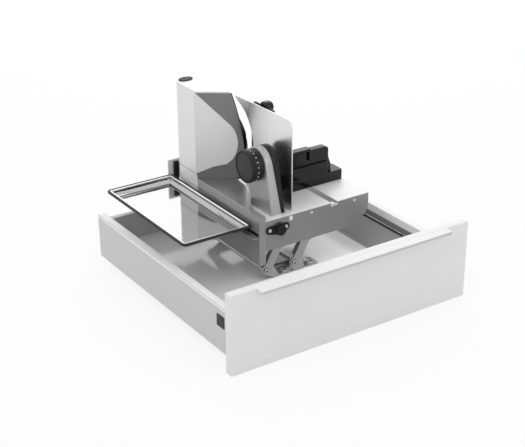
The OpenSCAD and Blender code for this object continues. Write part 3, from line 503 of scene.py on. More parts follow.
@dataclass(frozen=True)
class Finish:
    """A surface finish: colour, gloss, and a fine pattern in relief and in gloss.

    Attributes:
        name: Name of the material.
        slot: Material slot of the record.
        colour: Base colour, linear.
        metallic: Share of metal.
        roughness: Mean roughness.
        grain: Kind of fine pattern.
        grain_size: Size of the pattern's features.
        relief: Strength of the relief.
        mottle: Share by which the colour varies in soft patches.
        wear: Share by which the roughness varies in soft patches.
        coat: Weight of a clear coat.
        gleam: Level of the surface's own reflection.
    """

    name: str
    # slot: Material slot of the record; not used.
    slot: str
    colour: Colour
    metallic: float = 0.0
    roughness: float = 0.4
    grain: Grain = Grain.SMOOTH
    grain_size: float = 0.001
    relief: float = 0.05
    mottle: float = 0.03
    wear: float = 0.15
    coat: float = 0.0
    gleam: float = 0.5

    def material(self) -> bpy.types.Material:
        """Builds the material, or returns the one already built.

        Returns:
            The material.
        """
        known = bpy.data.materials.get(self.name)
        if known is not None:
            return known
        material = bpy.data.materials.new(self.name)
        material.use_nodes = True
        tree = material.node_tree
        shader = tree.nodes["Principled BSDF"]
        where = add_node(tree, "TexCoord", {}).outputs["Object"]
        patches = noise(tree, where, PATCHES, 3.0)
        fine = self._fine(tree, where)
        feed(tree, shader, {
            "Metallic": self.metallic, "Specular IOR Level": self.gleam,
            "Coat Weight": self.coat, "Coat Roughness": COAT_ROUGHNESS,
            "Base Color": self._colour(tree, patches),
            "Roughness": self._gloss(tree, patches, fine),
        })
        if fine is not None:
            bump = add_node(tree, "Bump", {"Strength": self.relief, "Height": fine,
                                           "Distance": self.grain_size * 0.3})
            feed(tree, shader, {"Normal": bump.outputs["Normal"]})
        return material

    def _colour(self, tree: bpy.types.NodeTree,
                patches: bpy.types.NodeSocket) -> bpy.types.NodeSocket:
        """Lets the base colour vary a little in soft patches.

        Args:
            tree: Node tree of the material.
            patches: Factor of the soft noise.

        Returns:
            The colour.
        """
        low = [c * (1 - self.mottle) for c in self.colour]
        high = [min(1.0, c * (1 + self.mottle)) for c in self.colour]
        mix = add_node(tree, "Mix", {"A": (*low, 1.0), "B": (*high, 1.0), "Factor": patches},
                       data_type="RGBA")
        return mix.outputs["Result"]

    def _fine(self, tree: bpy.types.NodeTree,
              where: bpy.types.NodeSocket) -> bpy.types.NodeSocket | None:
        """Adds the fine pattern.

        Args:
            tree: Node tree of the material.
            where: Object coordinates.

        Returns:
            The pattern's factor, or None for a smooth finish.
        """
        if self.grain is Grain.SMOOTH:
            return None
        scale = 1.0 / self.grain_size
        if self.grain is Grain.TURNED:
            flat = add_node(tree, "VectorMath", {0: where, 1: (0.0, 1.0, 1.0)},
                            operation="MULTIPLY").outputs["Vector"]
            length = add_node(tree, "VectorMath", {0: flat}, operation="LENGTH")
            return noise(tree, length.outputs["Value"], scale, 2.0)
        stretch = {
            Grain.BRUSHED_X: (STROKE, 1.0, 1.0),
            Grain.BRUSHED_Y: (1.0, STROKE, 1.0),
            Grain.BRUSHED_Z: (1.0, 1.0, STROKE),
        }.get(self.grain, (1.0, 1.0, 1.0))
        mapping = add_node(tree, "Mapping", {"Vector": where, "Scale": stretch})
        return noise(tree, mapping.outputs["Vector"], scale, 3.0)

    def _gloss(self, tree: bpy.types.NodeTree, patches: bpy.types.NodeSocket,
               fine: bpy.types.NodeSocket | None) -> bpy.types.NodeSocket:
        """Lets the roughness vary with the soft patches, or with the fine pattern.

        Args:
            tree: Node tree of the material.
            patches: Factor of the soft noise.
            fine: Factor of the fine pattern.

        Returns:
            The roughness.
        """
        brushed = self.grain in (Grain.BRUSHED_X, Grain.BRUSHED_Y, Grain.BRUSHED_Z, Grain.TURNED)
        spread = add_node(tree, "MapRange", {
            "Value": fine if brushed else patches, "From Min": 0.3, "From Max": 0.7,
            "To Min": self.roughness * (1 - self.wear),
            "To Max": min(1.0, self.roughness * (1 + self.wear)),
        })
        return spread.outputs["Result"]


@dataclass(frozen=True)
class Finishes:
    """Every finish of the drawer and the slicer."""

    front: Finish = Finish("white_front_lacquer", "front_lacquer", (0.80, 0.80, 0.80), 0.0, 0.34,
                           Grain.PEEL, 0.0012, 0.04)
    lip_face: Finish = Finish("satin_lip_face", "front_lacquer", (0.56, 0.56, 0.56), 0.0, 0.4,
                              Grain.PEEL, 0.0012, 0.04)
    side: Finish = Finish("grey_side_powder_coat", "side_lacquer", (0.60, 0.60, 0.605), 0.0, 0.45,
                          Grain.PEEL, 0.0007, 0.08)
    rim: Finish = Finish("white_rim_lacquer", "front_lacquer", (0.86, 0.86, 0.86), 0.0, 0.35,
                         Grain.PEEL, 0.001, 0.04)
    floor: Finish = Finish("white_floor_board", "floor_white", (0.90, 0.90, 0.90), 0.0, 0.14,
                           Grain.PEEL, 0.002, 0.02, 0.02, 0.2, 0.2)
    liner: Finish = Finish("grey_liner_plastic", "liner_grey", (0.30, 0.30, 0.305), 0.0, 0.42,
                           Grain.STIPPLE, 0.0006, 0.1)
    rear: Finish = Finish("grey_rear_coat", "rear_grey", (0.60, 0.60, 0.605), 0.0, 0.45,
                          Grain.PEEL, 0.0008, 0.06)
    dark_trim: Finish = Finish("dark_trim_plastic", "dark_trim", (0.19, 0.19, 0.192), 0.0, 0.35,
                               Grain.STIPPLE, 0.0005, 0.05)
    chrome: Finish = Finish("polished_bright_trim", "bright_trim", (0.86, 0.86, 0.87), 1.0, 0.09)
    runner: Finish = Finish("zinc_runner_steel", "runner_steel", (0.62, 0.63, 0.64), 1.0, 0.36,
                            Grain.BRUSHED_Y, 0.0006, 0.05)
    link: Finish = Finish("satin_link_steel", "mount_steel", (0.44, 0.44, 0.445), 0.85, 0.38,
                          Grain.PEEL, 0.0008, 0.06)
    cheek: Finish = Finish("silver_base_lacquer", "base_metal", (0.30, 0.30, 0.303), 0.35, 0.42,
                           Grain.PEEL, 0.0007, 0.06)
    wall: Finish = Finish("silver_wall_lacquer", "base_metal", (0.36, 0.36, 0.363), 0.5, 0.34,
                          Grain.PEEL, 0.0007, 0.05)
    table: Finish = Finish("brushed_table_steel", "table_steel", (0.84, 0.84, 0.84), 0.15, 0.42,
                           Grain.BRUSHED_Y, 0.0006, 0.05)
    tower: Finish = Finish("silver_tower_lacquer", "tower_silver", (0.78, 0.78, 0.785), 0.3, 0.34,
                           Grain.PEEL, 0.0007, 0.05)
    dark_wall: Finish = Finish("dark_polished_wall", "wall_dark", (0.20, 0.20, 0.202), 1.0, 0.24)
    black: Finish = Finish("black_moulded_plastic", "black_plastic", (0.009, 0.009, 0.0095), 0.0,
                           0.24, Grain.STIPPLE, 0.0005, 0.04, gleam=0.26)
    grey: Finish = Finish("dark_grey_plastic", "grey_plastic", (0.055, 0.055, 0.057), 0.0, 0.5,
                          Grain.STIPPLE, 0.0005, 0.06, gleam=0.12)
    arm: Finish = Finish("light_arm_lacquer", "arm_grey", (0.42, 0.42, 0.425), 0.5, 0.34,
                         Grain.PEEL, 0.0007, 0.05)
    blade: Finish = Finish("ground_blade_steel", "blade_steel", (0.62, 0.63, 0.64), 1.0, 0.24,
                           Grain.TURNED, 0.0008, 0.05)
    gauge: Finish = Finish("anodised_gauge_plate", "gauge_alu", (0.80, 0.80, 0.805), 1.0, 0.28,
                           Grain.BRUSHED_Z, 0.0006, 0.004, 0.008, 0.04)
    iron: Finish = Finish("laminated_motor_iron", "motor_dark", (0.06, 0.06, 0.06), 0.6, 0.5,
                          Grain.BRUSHED_X, 0.0008, 0.2)
    nylon: Finish = Finish("moulded_gear_nylon", "gear_nylon", (0.72, 0.69, 0.58), 0.0, 0.45,
                           Grain.STIPPLE, 0.0008, 0.05)
    tray: Finish = Finish("mirror_tray_steel", "tray_steel", (0.50, 0.50, 0.505), 1.0, 0.06,
                          Grain.SMOOTH, 0.001, 0.0, 0.01, 0.3)
    deck: Finish = Finish("polished_deck_steel", "tray_steel", (0.46, 0.46, 0.465), 1.0, 0.34)
    bracket: Finish = Finish("zinc_bracket_steel", "mount_steel", (0.50, 0.50, 0.505), 0.8, 0.34,
                             Grain.PEEL, 0.0008, 0.06)
    pin: Finish = Finish("turned_pin_steel", "mount_steel", (0.60, 0.60, 0.605), 0.95, 0.24,
                         Grain.PEEL, 0.0008, 0.04)
    dark_steel: Finish = Finish("dark_bar_steel", "mount_steel", (0.13, 0.13, 0.132), 0.8, 0.30,
                                Grain.PEEL, 0.0008, 0.04)
    cap_white: Finish = Finish("bright_screw_caps", "bright_trim", (0.86, 0.86, 0.86), 0.2, 0.25,
                               Grain.PEEL, 0.0006, 0.02)
    gloss: Finish = Finish("black_gloss_plastic", "black_plastic", (0.006, 0.006, 0.0065), 0.0,
                           0.12, Grain.STIPPLE, 0.0008, 0.01, gleam=0.32)
    # The tray's rim is real; its near-black colour is painted reflection of dark surroundings on
    # polished metal.
    rim_painted_dark: Finish = Finish("rim_painted_dark_reflection", "dark_trim", (0.030, 0.030, 0.031), 0.0,
                                0.35, Grain.PEEL, 0.0008, 0.02, gleam=0.15)
    mark: Finish = Finish("white_dial_print", "front_lacquer", (0.80, 0.80, 0.80), 0.0, 0.5,
                          Grain.PEEL, 0.0005, 0.02)


FINISH = Finishes()


def piece(name: str, parts: Sequence[Part], finish: Finish, cad: str,
          replaces: bool = True) -> None:
    """Makes one named piece from surface parts, dresses it and lets it ride on a body.

    Args:
        name: Name of the piece.
        parts: Closed surfaces, as points and faces.
        finish: Finish of the piece.
        cad: CAD node whose body the piece moves with.
        replaces: Whether the piece stands in for that node.
    """
    counts = np.cumsum([0] + [len(points) for points, _ in parts])
    points = np.vstack([points for points, _ in parts])
    faces = [[i + int(start) for i in face]
             for start, (_, part) in zip(counts, parts) for face in part]
    mesh = bpy.data.meshes.new(name)
    mesh.from_pydata(points.tolist(), [], faces)
    work = bmesh.new()
    work.from_mesh(mesh)
    bmesh.ops.remove_doubles(work, verts=work.verts, dist=WELD)
    bmesh.ops.recalc_face_normals(work, faces=work.faces)
    work.to_mesh(mesh)
    work.free()
    mesh.shade_smooth()
    mesh.set_sharp_from_angle(angle=SHARP)
    mesh.materials.append(finish.material())
    thing = bpy.data.objects.new(name, mesh)
    bpy.context.scene.collection.objects.link(thing)
    body = frame["nodes"][cad]["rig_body"]
    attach(thing, body)
    if replaces:
        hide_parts(cad)
    LOG.info("%s: %d faces on %s", name, len(mesh.polygons), body)


def dress(finish: Finish, *nodes: str, edge: float = 0.0005) -> None:
    """Gives a finish and softly broken edges to CAD nodes that keep their shape.

    Args:
        finish: Finish of the nodes.
        nodes: Names of the CAD nodes.
        edge: Width of the broken edges.
    """
    for name in nodes:
        thing = frame["nodes"][name]
        thing.data.materials.clear()
        thing.data.materials.append(finish.material())
        thing.modifiers.new("weld", "WELD").merge_threshold = WELD
        plane = thing.modifiers.new("plane", "DECIMATE")
        plane.decimate_type = "DISSOLVE"
        plane.angle_limit = FLAT
        bevel = thing.modifiers.new("bevel", "BEVEL")
        bevel.width = edge
        bevel.segments = 2
        bevel.limit_method = "ANGLE"
        bevel.angle_limit = BROKEN
        thing.modifiers.new("even", "WEIGHTED_NORMAL").weight = 90


def corners(node: str) -> Tuple[Array, Array]:
    """Lowest and highest corner of a CAD node, as arrays."""
    low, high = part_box(node)
    return np.array(low, float), np.array(high, float)


def moved(part: Part, matrix: Matrix) -> Part:
    """The same part after a turn and a move."""
    points, faces = part
    turn = np.array(matrix)
    return points @ turn[:3, :3].T + turn[:3, 3], faces


def about(centre: Sequence[float], degrees: float) -> Matrix:
    """Turn by an angle about the line along X through a point."""
    here = Vector(centre)
    turn = Matrix.Rotation(math.radians(degrees), 4, "X")
    return Matrix.Translation(here) @ turn @ Matrix.Translation(-here)


def bolt(centre: Point2, face: float, height: float, radius: float, socket: float,
         axis: Axis) -> Part:
    """A round head with a broken edge and a hexagonal socket.

    Args:
        centre: Place of its axis.
        face: Depth of the face that it stands on.
        height: How far it stands out, with its sign.
        radius: Radius of the head.
        socket: Half the width of the socket.
        axis: Direction of its axis.

    Returns:
        Points and faces.
    """
    soft = radius * 0.14
    rows = [
        (radius, face), (radius, face + height * 0.62), (radius - soft * 0.3, face + height * 0.9),
        (radius - soft, face + height), (socket * 1.3, face + height), (socket, face + height),
        (socket, face + height * 0.25),
    ]
    return turned(rows, centre, axis, 36, corners=HEXAGON, corner_rows=2)


@dataclass
class Drawer:
    """The drawer: front, lip, sides, floor, rear panel and liners.

    Attributes:
        edge: Radius of the panels' rims.
        sheet: Thickness of the sides' steel.
        fold: Radius of the sides' folds.
        groove: Depth of the finger groove under the lip.
        step: Offset between the two planes of a side's outer wall.
        band: Height of the outer wall's upper plane.
        painted_shadow: Radius of the black tube under the bright bead, which is painted shadow of
            the bead.
        liner: Width of the sloping liner.
        cover: Thickness of the small covers.
    """

    edge: float = 0.0006
    sheet: float = 0.0015
    fold: float = 0.0016
    groove: float = 0.004
    step: float = 0.0008
    band: float = 0.007
    painted_shadow: float = 0.0017
    liner: float = 0.049
    cover: float = 0.0016

    def build(self) -> None:
        """Builds and dresses every part of the drawer."""
        self.front()
        self.lip()
        self.sides()
        self.trim()
        self.floor()
        dress(FINISH.runner, "cabinet_rails", "middle_rails", "drawer_rails", "front_brackets")

    def front(self) -> None:
        """The front panel: a plate with softly rounded rims."""
        low, high = corners("front_panel")
        plate = block(low, high, self.edge, Axis.Y)
        piece("front_plate", [plate], FINISH.front, "front_panel")

    def lip(self) -> None:
        """The handle lip: one section with a finger groove, carried along the front."""
        low, high = corners("handle_lip")
        root = high[1]
        under = low[2] + self.groove
        section = Cornered(
            [
                (root, high[2]), (low[1], high[2]), (low[1] + 0.0026, low[2]),
                (low[1] + 0.0056, low[2]), (low[1] + 0.0080, under), (root - 0.0030, under),
                (root, low[2]),
            ],
            [0.0001, 0.0004, 0.0004, 0.0006, 0.0015, 0.0015, 0.0001])
        bar = slab(section, low[0], high[0], Axis.X, 0.0004, 2)
        film = 0.00005
        outline = Cornered(near(low[1], high[2], [(0.3, -0.8), (-0.1, -0.8)])
                           + near(low[1], low[2], [(2.2, 0.8), (2.8, 0.8)]), film)
        strip = slab(outline, low[0] + 0.0004, high[0] - 0.0004, Axis.X, film, 1)
        piece("lip_satin_face", [strip], FINISH.lip_face, "handle_lip", False)
        piece("front_handle_lip", [bar], FINISH.front, "handle_lip")

    def sides(self) -> None:
        """The double-walled sides: one folded sheet each, carried to the back."""
        low, high = corners("side_right")
        inlay_low, inlay_high = corners("side_inlays")
        half = self.sheet / 2
        step, band = self.step, self.band
        bottom = corners("drawer_bottom")[0][2]
        inner = inlay_high[0] - 0.003
        back = inlay_high[0] + half
        path = [
            (high[0] - step - half, low[2]), (high[0] - step - half, high[2] - band - step),
            (high[0] - half, high[2] - band + step), (high[0] - half, high[2] - half),
            (inner + half, high[2] - half), (inner + half, inlay_high[2] + half),
            (back, inlay_high[2] + half), (back, inlay_low[2] - half),
            (inner + half, inlay_low[2] - half), (inner + half, bottom - half),
            (low[0], bottom - half),
        ]
        shell = slab(ribbon(path, self.sheet, 0.0007), low[1], high[1], Axis.Y, 0.0002, 1)
        rim = ribbon(
            [(high[0] - half, high[2] - band + 0.001), (high[0] - half, high[2] - half),
             (inner + half, high[2] - half), (inner + half, inlay_high[2] + 0.001)],
            self.sheet + 0.0004, self.fold)
        cap = slab(rim, low[1] + 0.0002, high[1] - 0.0002, Axis.Y, 0.0002, 1)
        piece("side_shell_right", [shell], FINISH.side, "side_right")
        piece("side_shell_left", mirrored([shell]), FINISH.side, "side_left")
        piece("side_rims", both(cap), FINISH.rim, "side_right", False)

    def trim(self) -> None:
        """Dark bands, bright beads with a black tube under each as painted shadow, sloping liners
        and the small covers on the sides.
        """
        low, high = corners("side_beads")
        radius = (high[2] - low[2]) / 2
        line = np.array([[high[0] - radius, low[1], low[2] + radius],
                         [high[0] - radius, high[1], low[2] + radius]])
        bead = tube(line, radius)
        # A black tube just under each bright bead: painted shadow of the bead.
        painted_shadow_line = line + np.array([-0.0008, 0.0, -0.0030])
        painted_shadow = tube(painted_shadow_line, self.painted_shadow)
        piece("side_bright_beads", both(bead), FINISH.chrome, "side_beads")
        piece("side_painted_shadow_lines", both(painted_shadow), FINISH.black, "side_beads", False)
        dress(FINISH.dark_trim, "side_inlays")
        low, high = corners("side_liners")
        foot = high[0] - self.liner
        path = [(high[0] - 0.0006, high[2] - 0.001), (foot, low[2] + 0.0008),
                (foot - 0.004, low[2] + 0.0006)]
        sheet = slab(ribbon(path, 0.001, 0.004), low[1], high[1], Axis.Y, 0.0002, 1)
        piece("side_sloping_liners", both(sheet), FINISH.liner, "side_liners")
        low, high = corners("side_covers")
        cover = block((high[0] - self.cover, low[1], low[2]), high, 0.0005, Axis.X, 0.002)
        piece("side_small_covers", both(cover), FINISH.grey, "side_covers")

    def floor(self) -> None:
        """The white floor board and the grey rear panel."""
        board = block(*corners("drawer_bottom"), 0.0004)
        piece("floor_board", [board], FINISH.floor, "drawer_bottom")
        panel = block(*corners("rear_panel"), 0.001, Axis.Y)
        piece("rear_board", [panel], FINISH.rear, "rear_panel")


@dataclass
class SwingMount:
    """The lift: floor brackets, pivot pins and leaning links.

    Attributes:
        ear: Radius of the ears about the floor pivots.
        sheet: Thickness of the brackets' ears.
        head: Radius of the pins' heads.
        socket: Half the width of the pins' sockets.
        lobe: Radius of the feet's round pads.
    """

    ear: float = 0.0100
    sheet: float = 0.0034
    head: float = 0.0052
    socket: float = 0.0028
    lobe: float = 0.0145

    def build(self) -> None:
        """Builds and dresses the lift."""
        dress(FINISH.link, "link_a_front", "link_a_rear", "link_b_front", "link_b_rear")
        front = self.bracket()
        middle = (corners("mount_bracket_front")[0][1] + corners("mount_bracket_rear")[1][1]) / 2
        for end in ("front", "rear"):
            bracket = f"mount_bracket_{end}"
            for label, finish, parts in front:
                parts = mirrored(parts, 1, middle) if end == "rear" else parts
                cad = "bracket_screws" if label == "screws" else bracket
                piece(f"bracket_{label}_{end}", parts, finish, cad, label != "bar")
        for node in ("pivot_pin_a", "pivot_pin_b"):
            self.pin(node)
        self.upper()

    def pivot(self, node: str) -> Tuple[float, float]:
        """Place of a pin's axis in X and Z."""
        low, high = corners(node)
        return float(low[0] + high[0]) / 2, float(low[2] + high[2]) / 2

    def bracket(self) -> List[Tuple[str, Finish, List[Part]]]:
        """Plate, bar and screws of the front bracket.

        Returns:
            Label, finish and parts of each piece.
        """
        low, high = corners("mount_bracket_front")
        a, b = self.pivot("pivot_pin_a"), self.pivot("pivot_pin_b")
        foot, y0 = low[2], low[1]
        first = slab(Belt([a, (a[0] + 0.014, a[1] + 0.001), (a[0] + 0.024, foot + 0.004),
                           (a[0] + 0.034, foot + 0.003)],
                          [self.ear, 0.0085, 0.004, 0.003]), y0, y0 + self.sheet, Axis.Y, 0.0007)
        second = slab(Belt([b, (b[0] + 0.006, foot + 0.003)], [self.ear, 0.003]),
                      y0, y0 + self.sheet, Axis.Y, 0.0007)
        web = slab(Cornered(
            near(b[0], foot, [(-2, 0), (31, 0), (29, 13)]) + near(*b, [(23, 4), (20, 13), (8, 8)]),
            [0.001, 0.002, 0.006, 0.010, 0.003, 0.002]),
            y0 + 0.0003, y0 + self.sheet + 0.0003, Axis.Y, 0.0007)
        plate = block((a[0] + 0.020, y0 + 0.002, foot), (high[0], high[1], foot + 0.0025), 0.0006,
                      Axis.Z, 0.008)
        pads = [self.pad((a[0] + 0.060, y0 + self.lobe), foot),
                self.pad((b[0] + 0.0535, y0 + self.lobe + 0.002), foot)]
        bar_y, bar_z = y0 + 0.0105, a[1] - 0.006
        reach = b[0] - a[0]
        bar = turned([(0.003, a[0] + 0.003), (0.0068, a[0] + 0.008), (0.0068, a[0] + reach * 0.5),
                      (0.0068, b[0] - 0.008), (0.003, b[0] - 0.003)], (bar_y, bar_z), Axis.X, 40)
        top = foot + 0.0078
        spots = [(a[0] + 0.0585, y0 + 0.012), (b[0] + 0.0475, y0 + 0.012),
                 (b[0] + 0.0585, y0 + 0.0125)]
        screws = [bolt(spot, top - 0.0008, 0.0022, 0.0042, 0.0018, Axis.Z) for spot in spots]
        return [("plate", FINISH.bracket, [first, second, web, plate, *pads]),
                ("bar", FINISH.dark_steel, [bar]), ("screws", FINISH.pin, screws)]

    def pad(self, centre: Point2, foot: float) -> Part:
        """A raised round pad with a recessed middle."""
        rows = near(self.lobe, foot, [(0, 0), (0, 5.8), (-0.8, 7.0), (-2.2, 7.6), (-4.2, 7.6),
                                      (-5.2, 7.0), (-6.0, 6.6)])
        return turned(rows, centre, Axis.Z, 56)

    def pin(self, node: str) -> None:
        """A floor pivot: two heads, the front one with a socket, on one long shaft."""
        low, high = corners(node)
        shaft, thick = 0.0048, 0.0026
        soft = 0.0008
        rows = [(self.head - soft, high[1]), (self.head, high[1] - soft),
                (self.head, high[1] - thick), (shaft, high[1] - thick),
                (shaft, low[1] + thick), (self.head, low[1] + thick),
                (self.head, low[1] + soft), (self.head - soft, low[1]),
                (self.socket * 1.35, low[1]), (self.socket, low[1]), (self.socket, low[1] + 0.0022)]
        stem = turned(rows, self.pivot(node), Axis.Y, 40, corners=HEXAGON, corner_rows=2)
        piece(f"{node}_turned", [stem], FINISH.pin, node)
        face = low[1] + thick
        ring = turned([(self.head + 0.0011, face), (self.head + 0.0010, face - 0.0006),
                       (self.head - 0.0001, face - 0.0008)], self.pivot(node), Axis.Y, 36)
        piece(f"{node}_washer", [ring], FINISH.dark_steel, node, False)
        # A black disc at the bottom of the socket: painted shade in the recess.
        pin_socket_shade = turned(near(self.socket * 0.97, low[1], [(0, 1.6), (0, 2.4)]), self.pivot(node),
                      Axis.Y, 24)
        piece(f"{node}_socket_painted_shade", [pin_socket_shade], FINISH.black, node, False)

    def upper(self) -> None:
        """The upper pins, one with a bright round cap in front of the cheek."""
        low, high = corners("upper_pins")
        disc = (high[2] - low[2]) / 2
        z = (low[2] + high[2]) / 2
        x = low[0] + disc
        span = self.pivot("pivot_pin_b")[0] - self.pivot("pivot_pin_a")[0]
        cap, shaft = 0.0054, 0.0034
        front = corners("cheek_front")[0][1]
        rows = [(cap * 0.72, low[1]), (cap * 0.93, low[1] + 0.0005), (cap, low[1] + 0.0013),
                (cap, front - 0.00005), (shaft, front - 0.00005), (shaft, high[1])]
        first = turned(rows, (x, z), Axis.Y, 40)
        second = turned([(shaft, front + 0.0001), (shaft, high[1])], (x + span, z), Axis.Y, 32)
        piece("upper_pins_turned", [first], FINISH.cap_white, "upper_pins")
        piece("upper_pin_painted_over", [second], FINISH.cheek, "upper_pins", False)


@dataclass
class Base:
    """The slicer's base: cheeks, left wall, table plates, flange and screws.

    Attributes:
        screw: Radius of the cheek's screws.
        inset: Distance of the cheek's screws from the CAD screws' top and right end.
        lobes: Radii of the flange's left end, middle and right end.
    """

    screw: float = 0.0042
    inset: float = 0.0028
    lobes: Tuple[float, float, float] = (0.0092, 0.0132, 0.0088)

    def build(self) -> None:
        """Builds and dresses the base."""
        dress(FINISH.cheek, "cheek_front", "cheek_rear", edge=0.0006)
        dress(FINISH.wall, "left_wall", edge=0.0006)
        dress(FINISH.table, "table_left", "table_right", edge=0.0006)
        self.flange()
        self.screws()
        self.ledge()
        self.clip()

    def flange(self) -> None:
        """The black flange with its hub, and the round cap that is pressed."""
        low, high = corners("lock_flange")
        cap_low, cap_high = corners("lock_button")
        x, z = (cap_low[0] + cap_high[0]) / 2, (cap_low[2] + cap_high[2]) / 2
        left, _, right = self.lobes
        row = z + 0.0035
        belt = Belt([(low[0] + left, row), (x, z + 0.001), (high[0] - right, row)], self.lobes)
        plate = slab(belt, low[1], high[1], Axis.Y, 0.0008)
        rim = self.lobes[1]
        hub = turned([(rim, high[1])] + near(rim, low[1], [(0, -2.2), (-0.9, -3.1), (-2.4, -3.3)]),
                     (x - 0.0045, z + 0.0036), Axis.Y)
        piece("flange_with_hub", [plate, hub], FINISH.black, "lock_flange")
        radius = (cap_high[0] - cap_low[0]) / 2
        rows = [(radius, cap_high[1])] + near(radius, cap_low[1], [
            (0, 1.8), (-0.5, 0.9), (-1.4, 0.3), (-2.8, 0), (-4.0, 0.2), (-4.6, 0.7)])
        cap = turned(rows, (x - 0.0025, z), Axis.Y, 96, waves=24, depth=0.0005)
        piece("round_cap", [cap], FINISH.black, "lock_button")

    def screws(self) -> None:
        """Screws of the cheek and of the flange, with black fills in their sockets as painted shade
        and dark rings round the cheek's screws as painted shadow.
        """
        plate_low, plate_high = corners("lock_flange")
        face = corners("cheek_front")[0][1]
        left, _, right = self.lobes
        upper = [(x, corners("cheek_screws")[1][2] - self.inset) for x in self.places()]
        row = corners("lock_button")[0][2] + 0.0155
        lower = [(x, row) for x in (plate_low[0] + left, plate_high[0] - right)]
        front = plate_low[1]
        heads = [bolt(spot, face, -0.0010, self.screw, 0.0017, Axis.Y) for spot in upper]
        heads += [bolt(spot, front, -0.0011, 0.0036, 0.0015, Axis.Y) for spot in lower]
        piece("cheek_screw_heads", heads, FINISH.cap_white, "cheek_screws")
        # Black hexagons in the screws' sockets: painted shade in the recesses.
        screw_socket_shade = [turned(near(0.0017, y, [(0, -0.2), (0, -0.5)]), spot, Axis.Y, HEXAGON)
                for spots, y in ((upper, face), (lower, front)) for spot in spots]
        piece("cheek_screw_painted_socket_shade", screw_socket_shade, FINISH.black, "cheek_screws", False)
        # Dark rings round the cheek's screws: painted shadow round the heads.
        shadow_rings = [turned([(self.screw + 0.0011, face), (self.screw + 0.0011, face - 0.00025),
                         (self.screw - 0.0002, face - 0.0004)], spot, Axis.Y, 36)
                 for spot in upper]
        piece("cheek_screw_painted_shadow_rings", shadow_rings, FINISH.grey, "cheek_front", False)

    def places(self) -> Tuple[float, float]:
        """Places of the cheek's two screws along X, from the CAD node's far end."""
        pins = corners("upper_pins")
        high = corners("cheek_screws")[1]
        span = corners("pivot_pin_b")[0][0] - corners("pivot_pin_a")[0][0]
        disc = (pins[1][2] - pins[0][2]) / 2
        return float(pins[0][0] + disc + span * 0.74), float(high[0] - self.inset)

    def ledge(self) -> None:
        """A thin black strip above the ledge that holds the tray: painted shade standing in for a
        slot's dark gap.
        """
        low, tray = corners("left_wall")[0], corners("tray")[0]
        inner = corners("motor_housing")[0][0]
        # Black strip at the housing's inner face: painted shade of a slot.
        slot = block((inner - 0.0004, low[1] + 0.003, tray[2] + 0.0005),
                     (inner + 0.0004, low[1] + 0.062, tray[2] + 0.0075), 0.0003)
        piece("ledge_painted_shade_strip", [slot], FINISH.black, "left_wall", False)

    def clip(self) -> None:
        """The white catch at the front end of the groove."""
        groove0, groove1 = corners("table_left")[1][0], corners("table_right")[0][0]
        top = corners("table_left")[1][2]
        face = corners("cheek_front")[0][1]
        hook = block((groove0 - 0.0005, face - 0.0016, top - 0.0095),
                     (groove0 + 0.0085, face + 0.006, top - 0.0006), 0.001, Axis.Y, 0.002)
        step = block((groove0 + 0.006, face - 0.0008, top - 0.0085),
                     (groove1 + 0.001, face + 0.004, top - 0.0045), 0.0006)
        piece("groove_catch", [hook, step], FINISH.cap_white, "table_left", False)


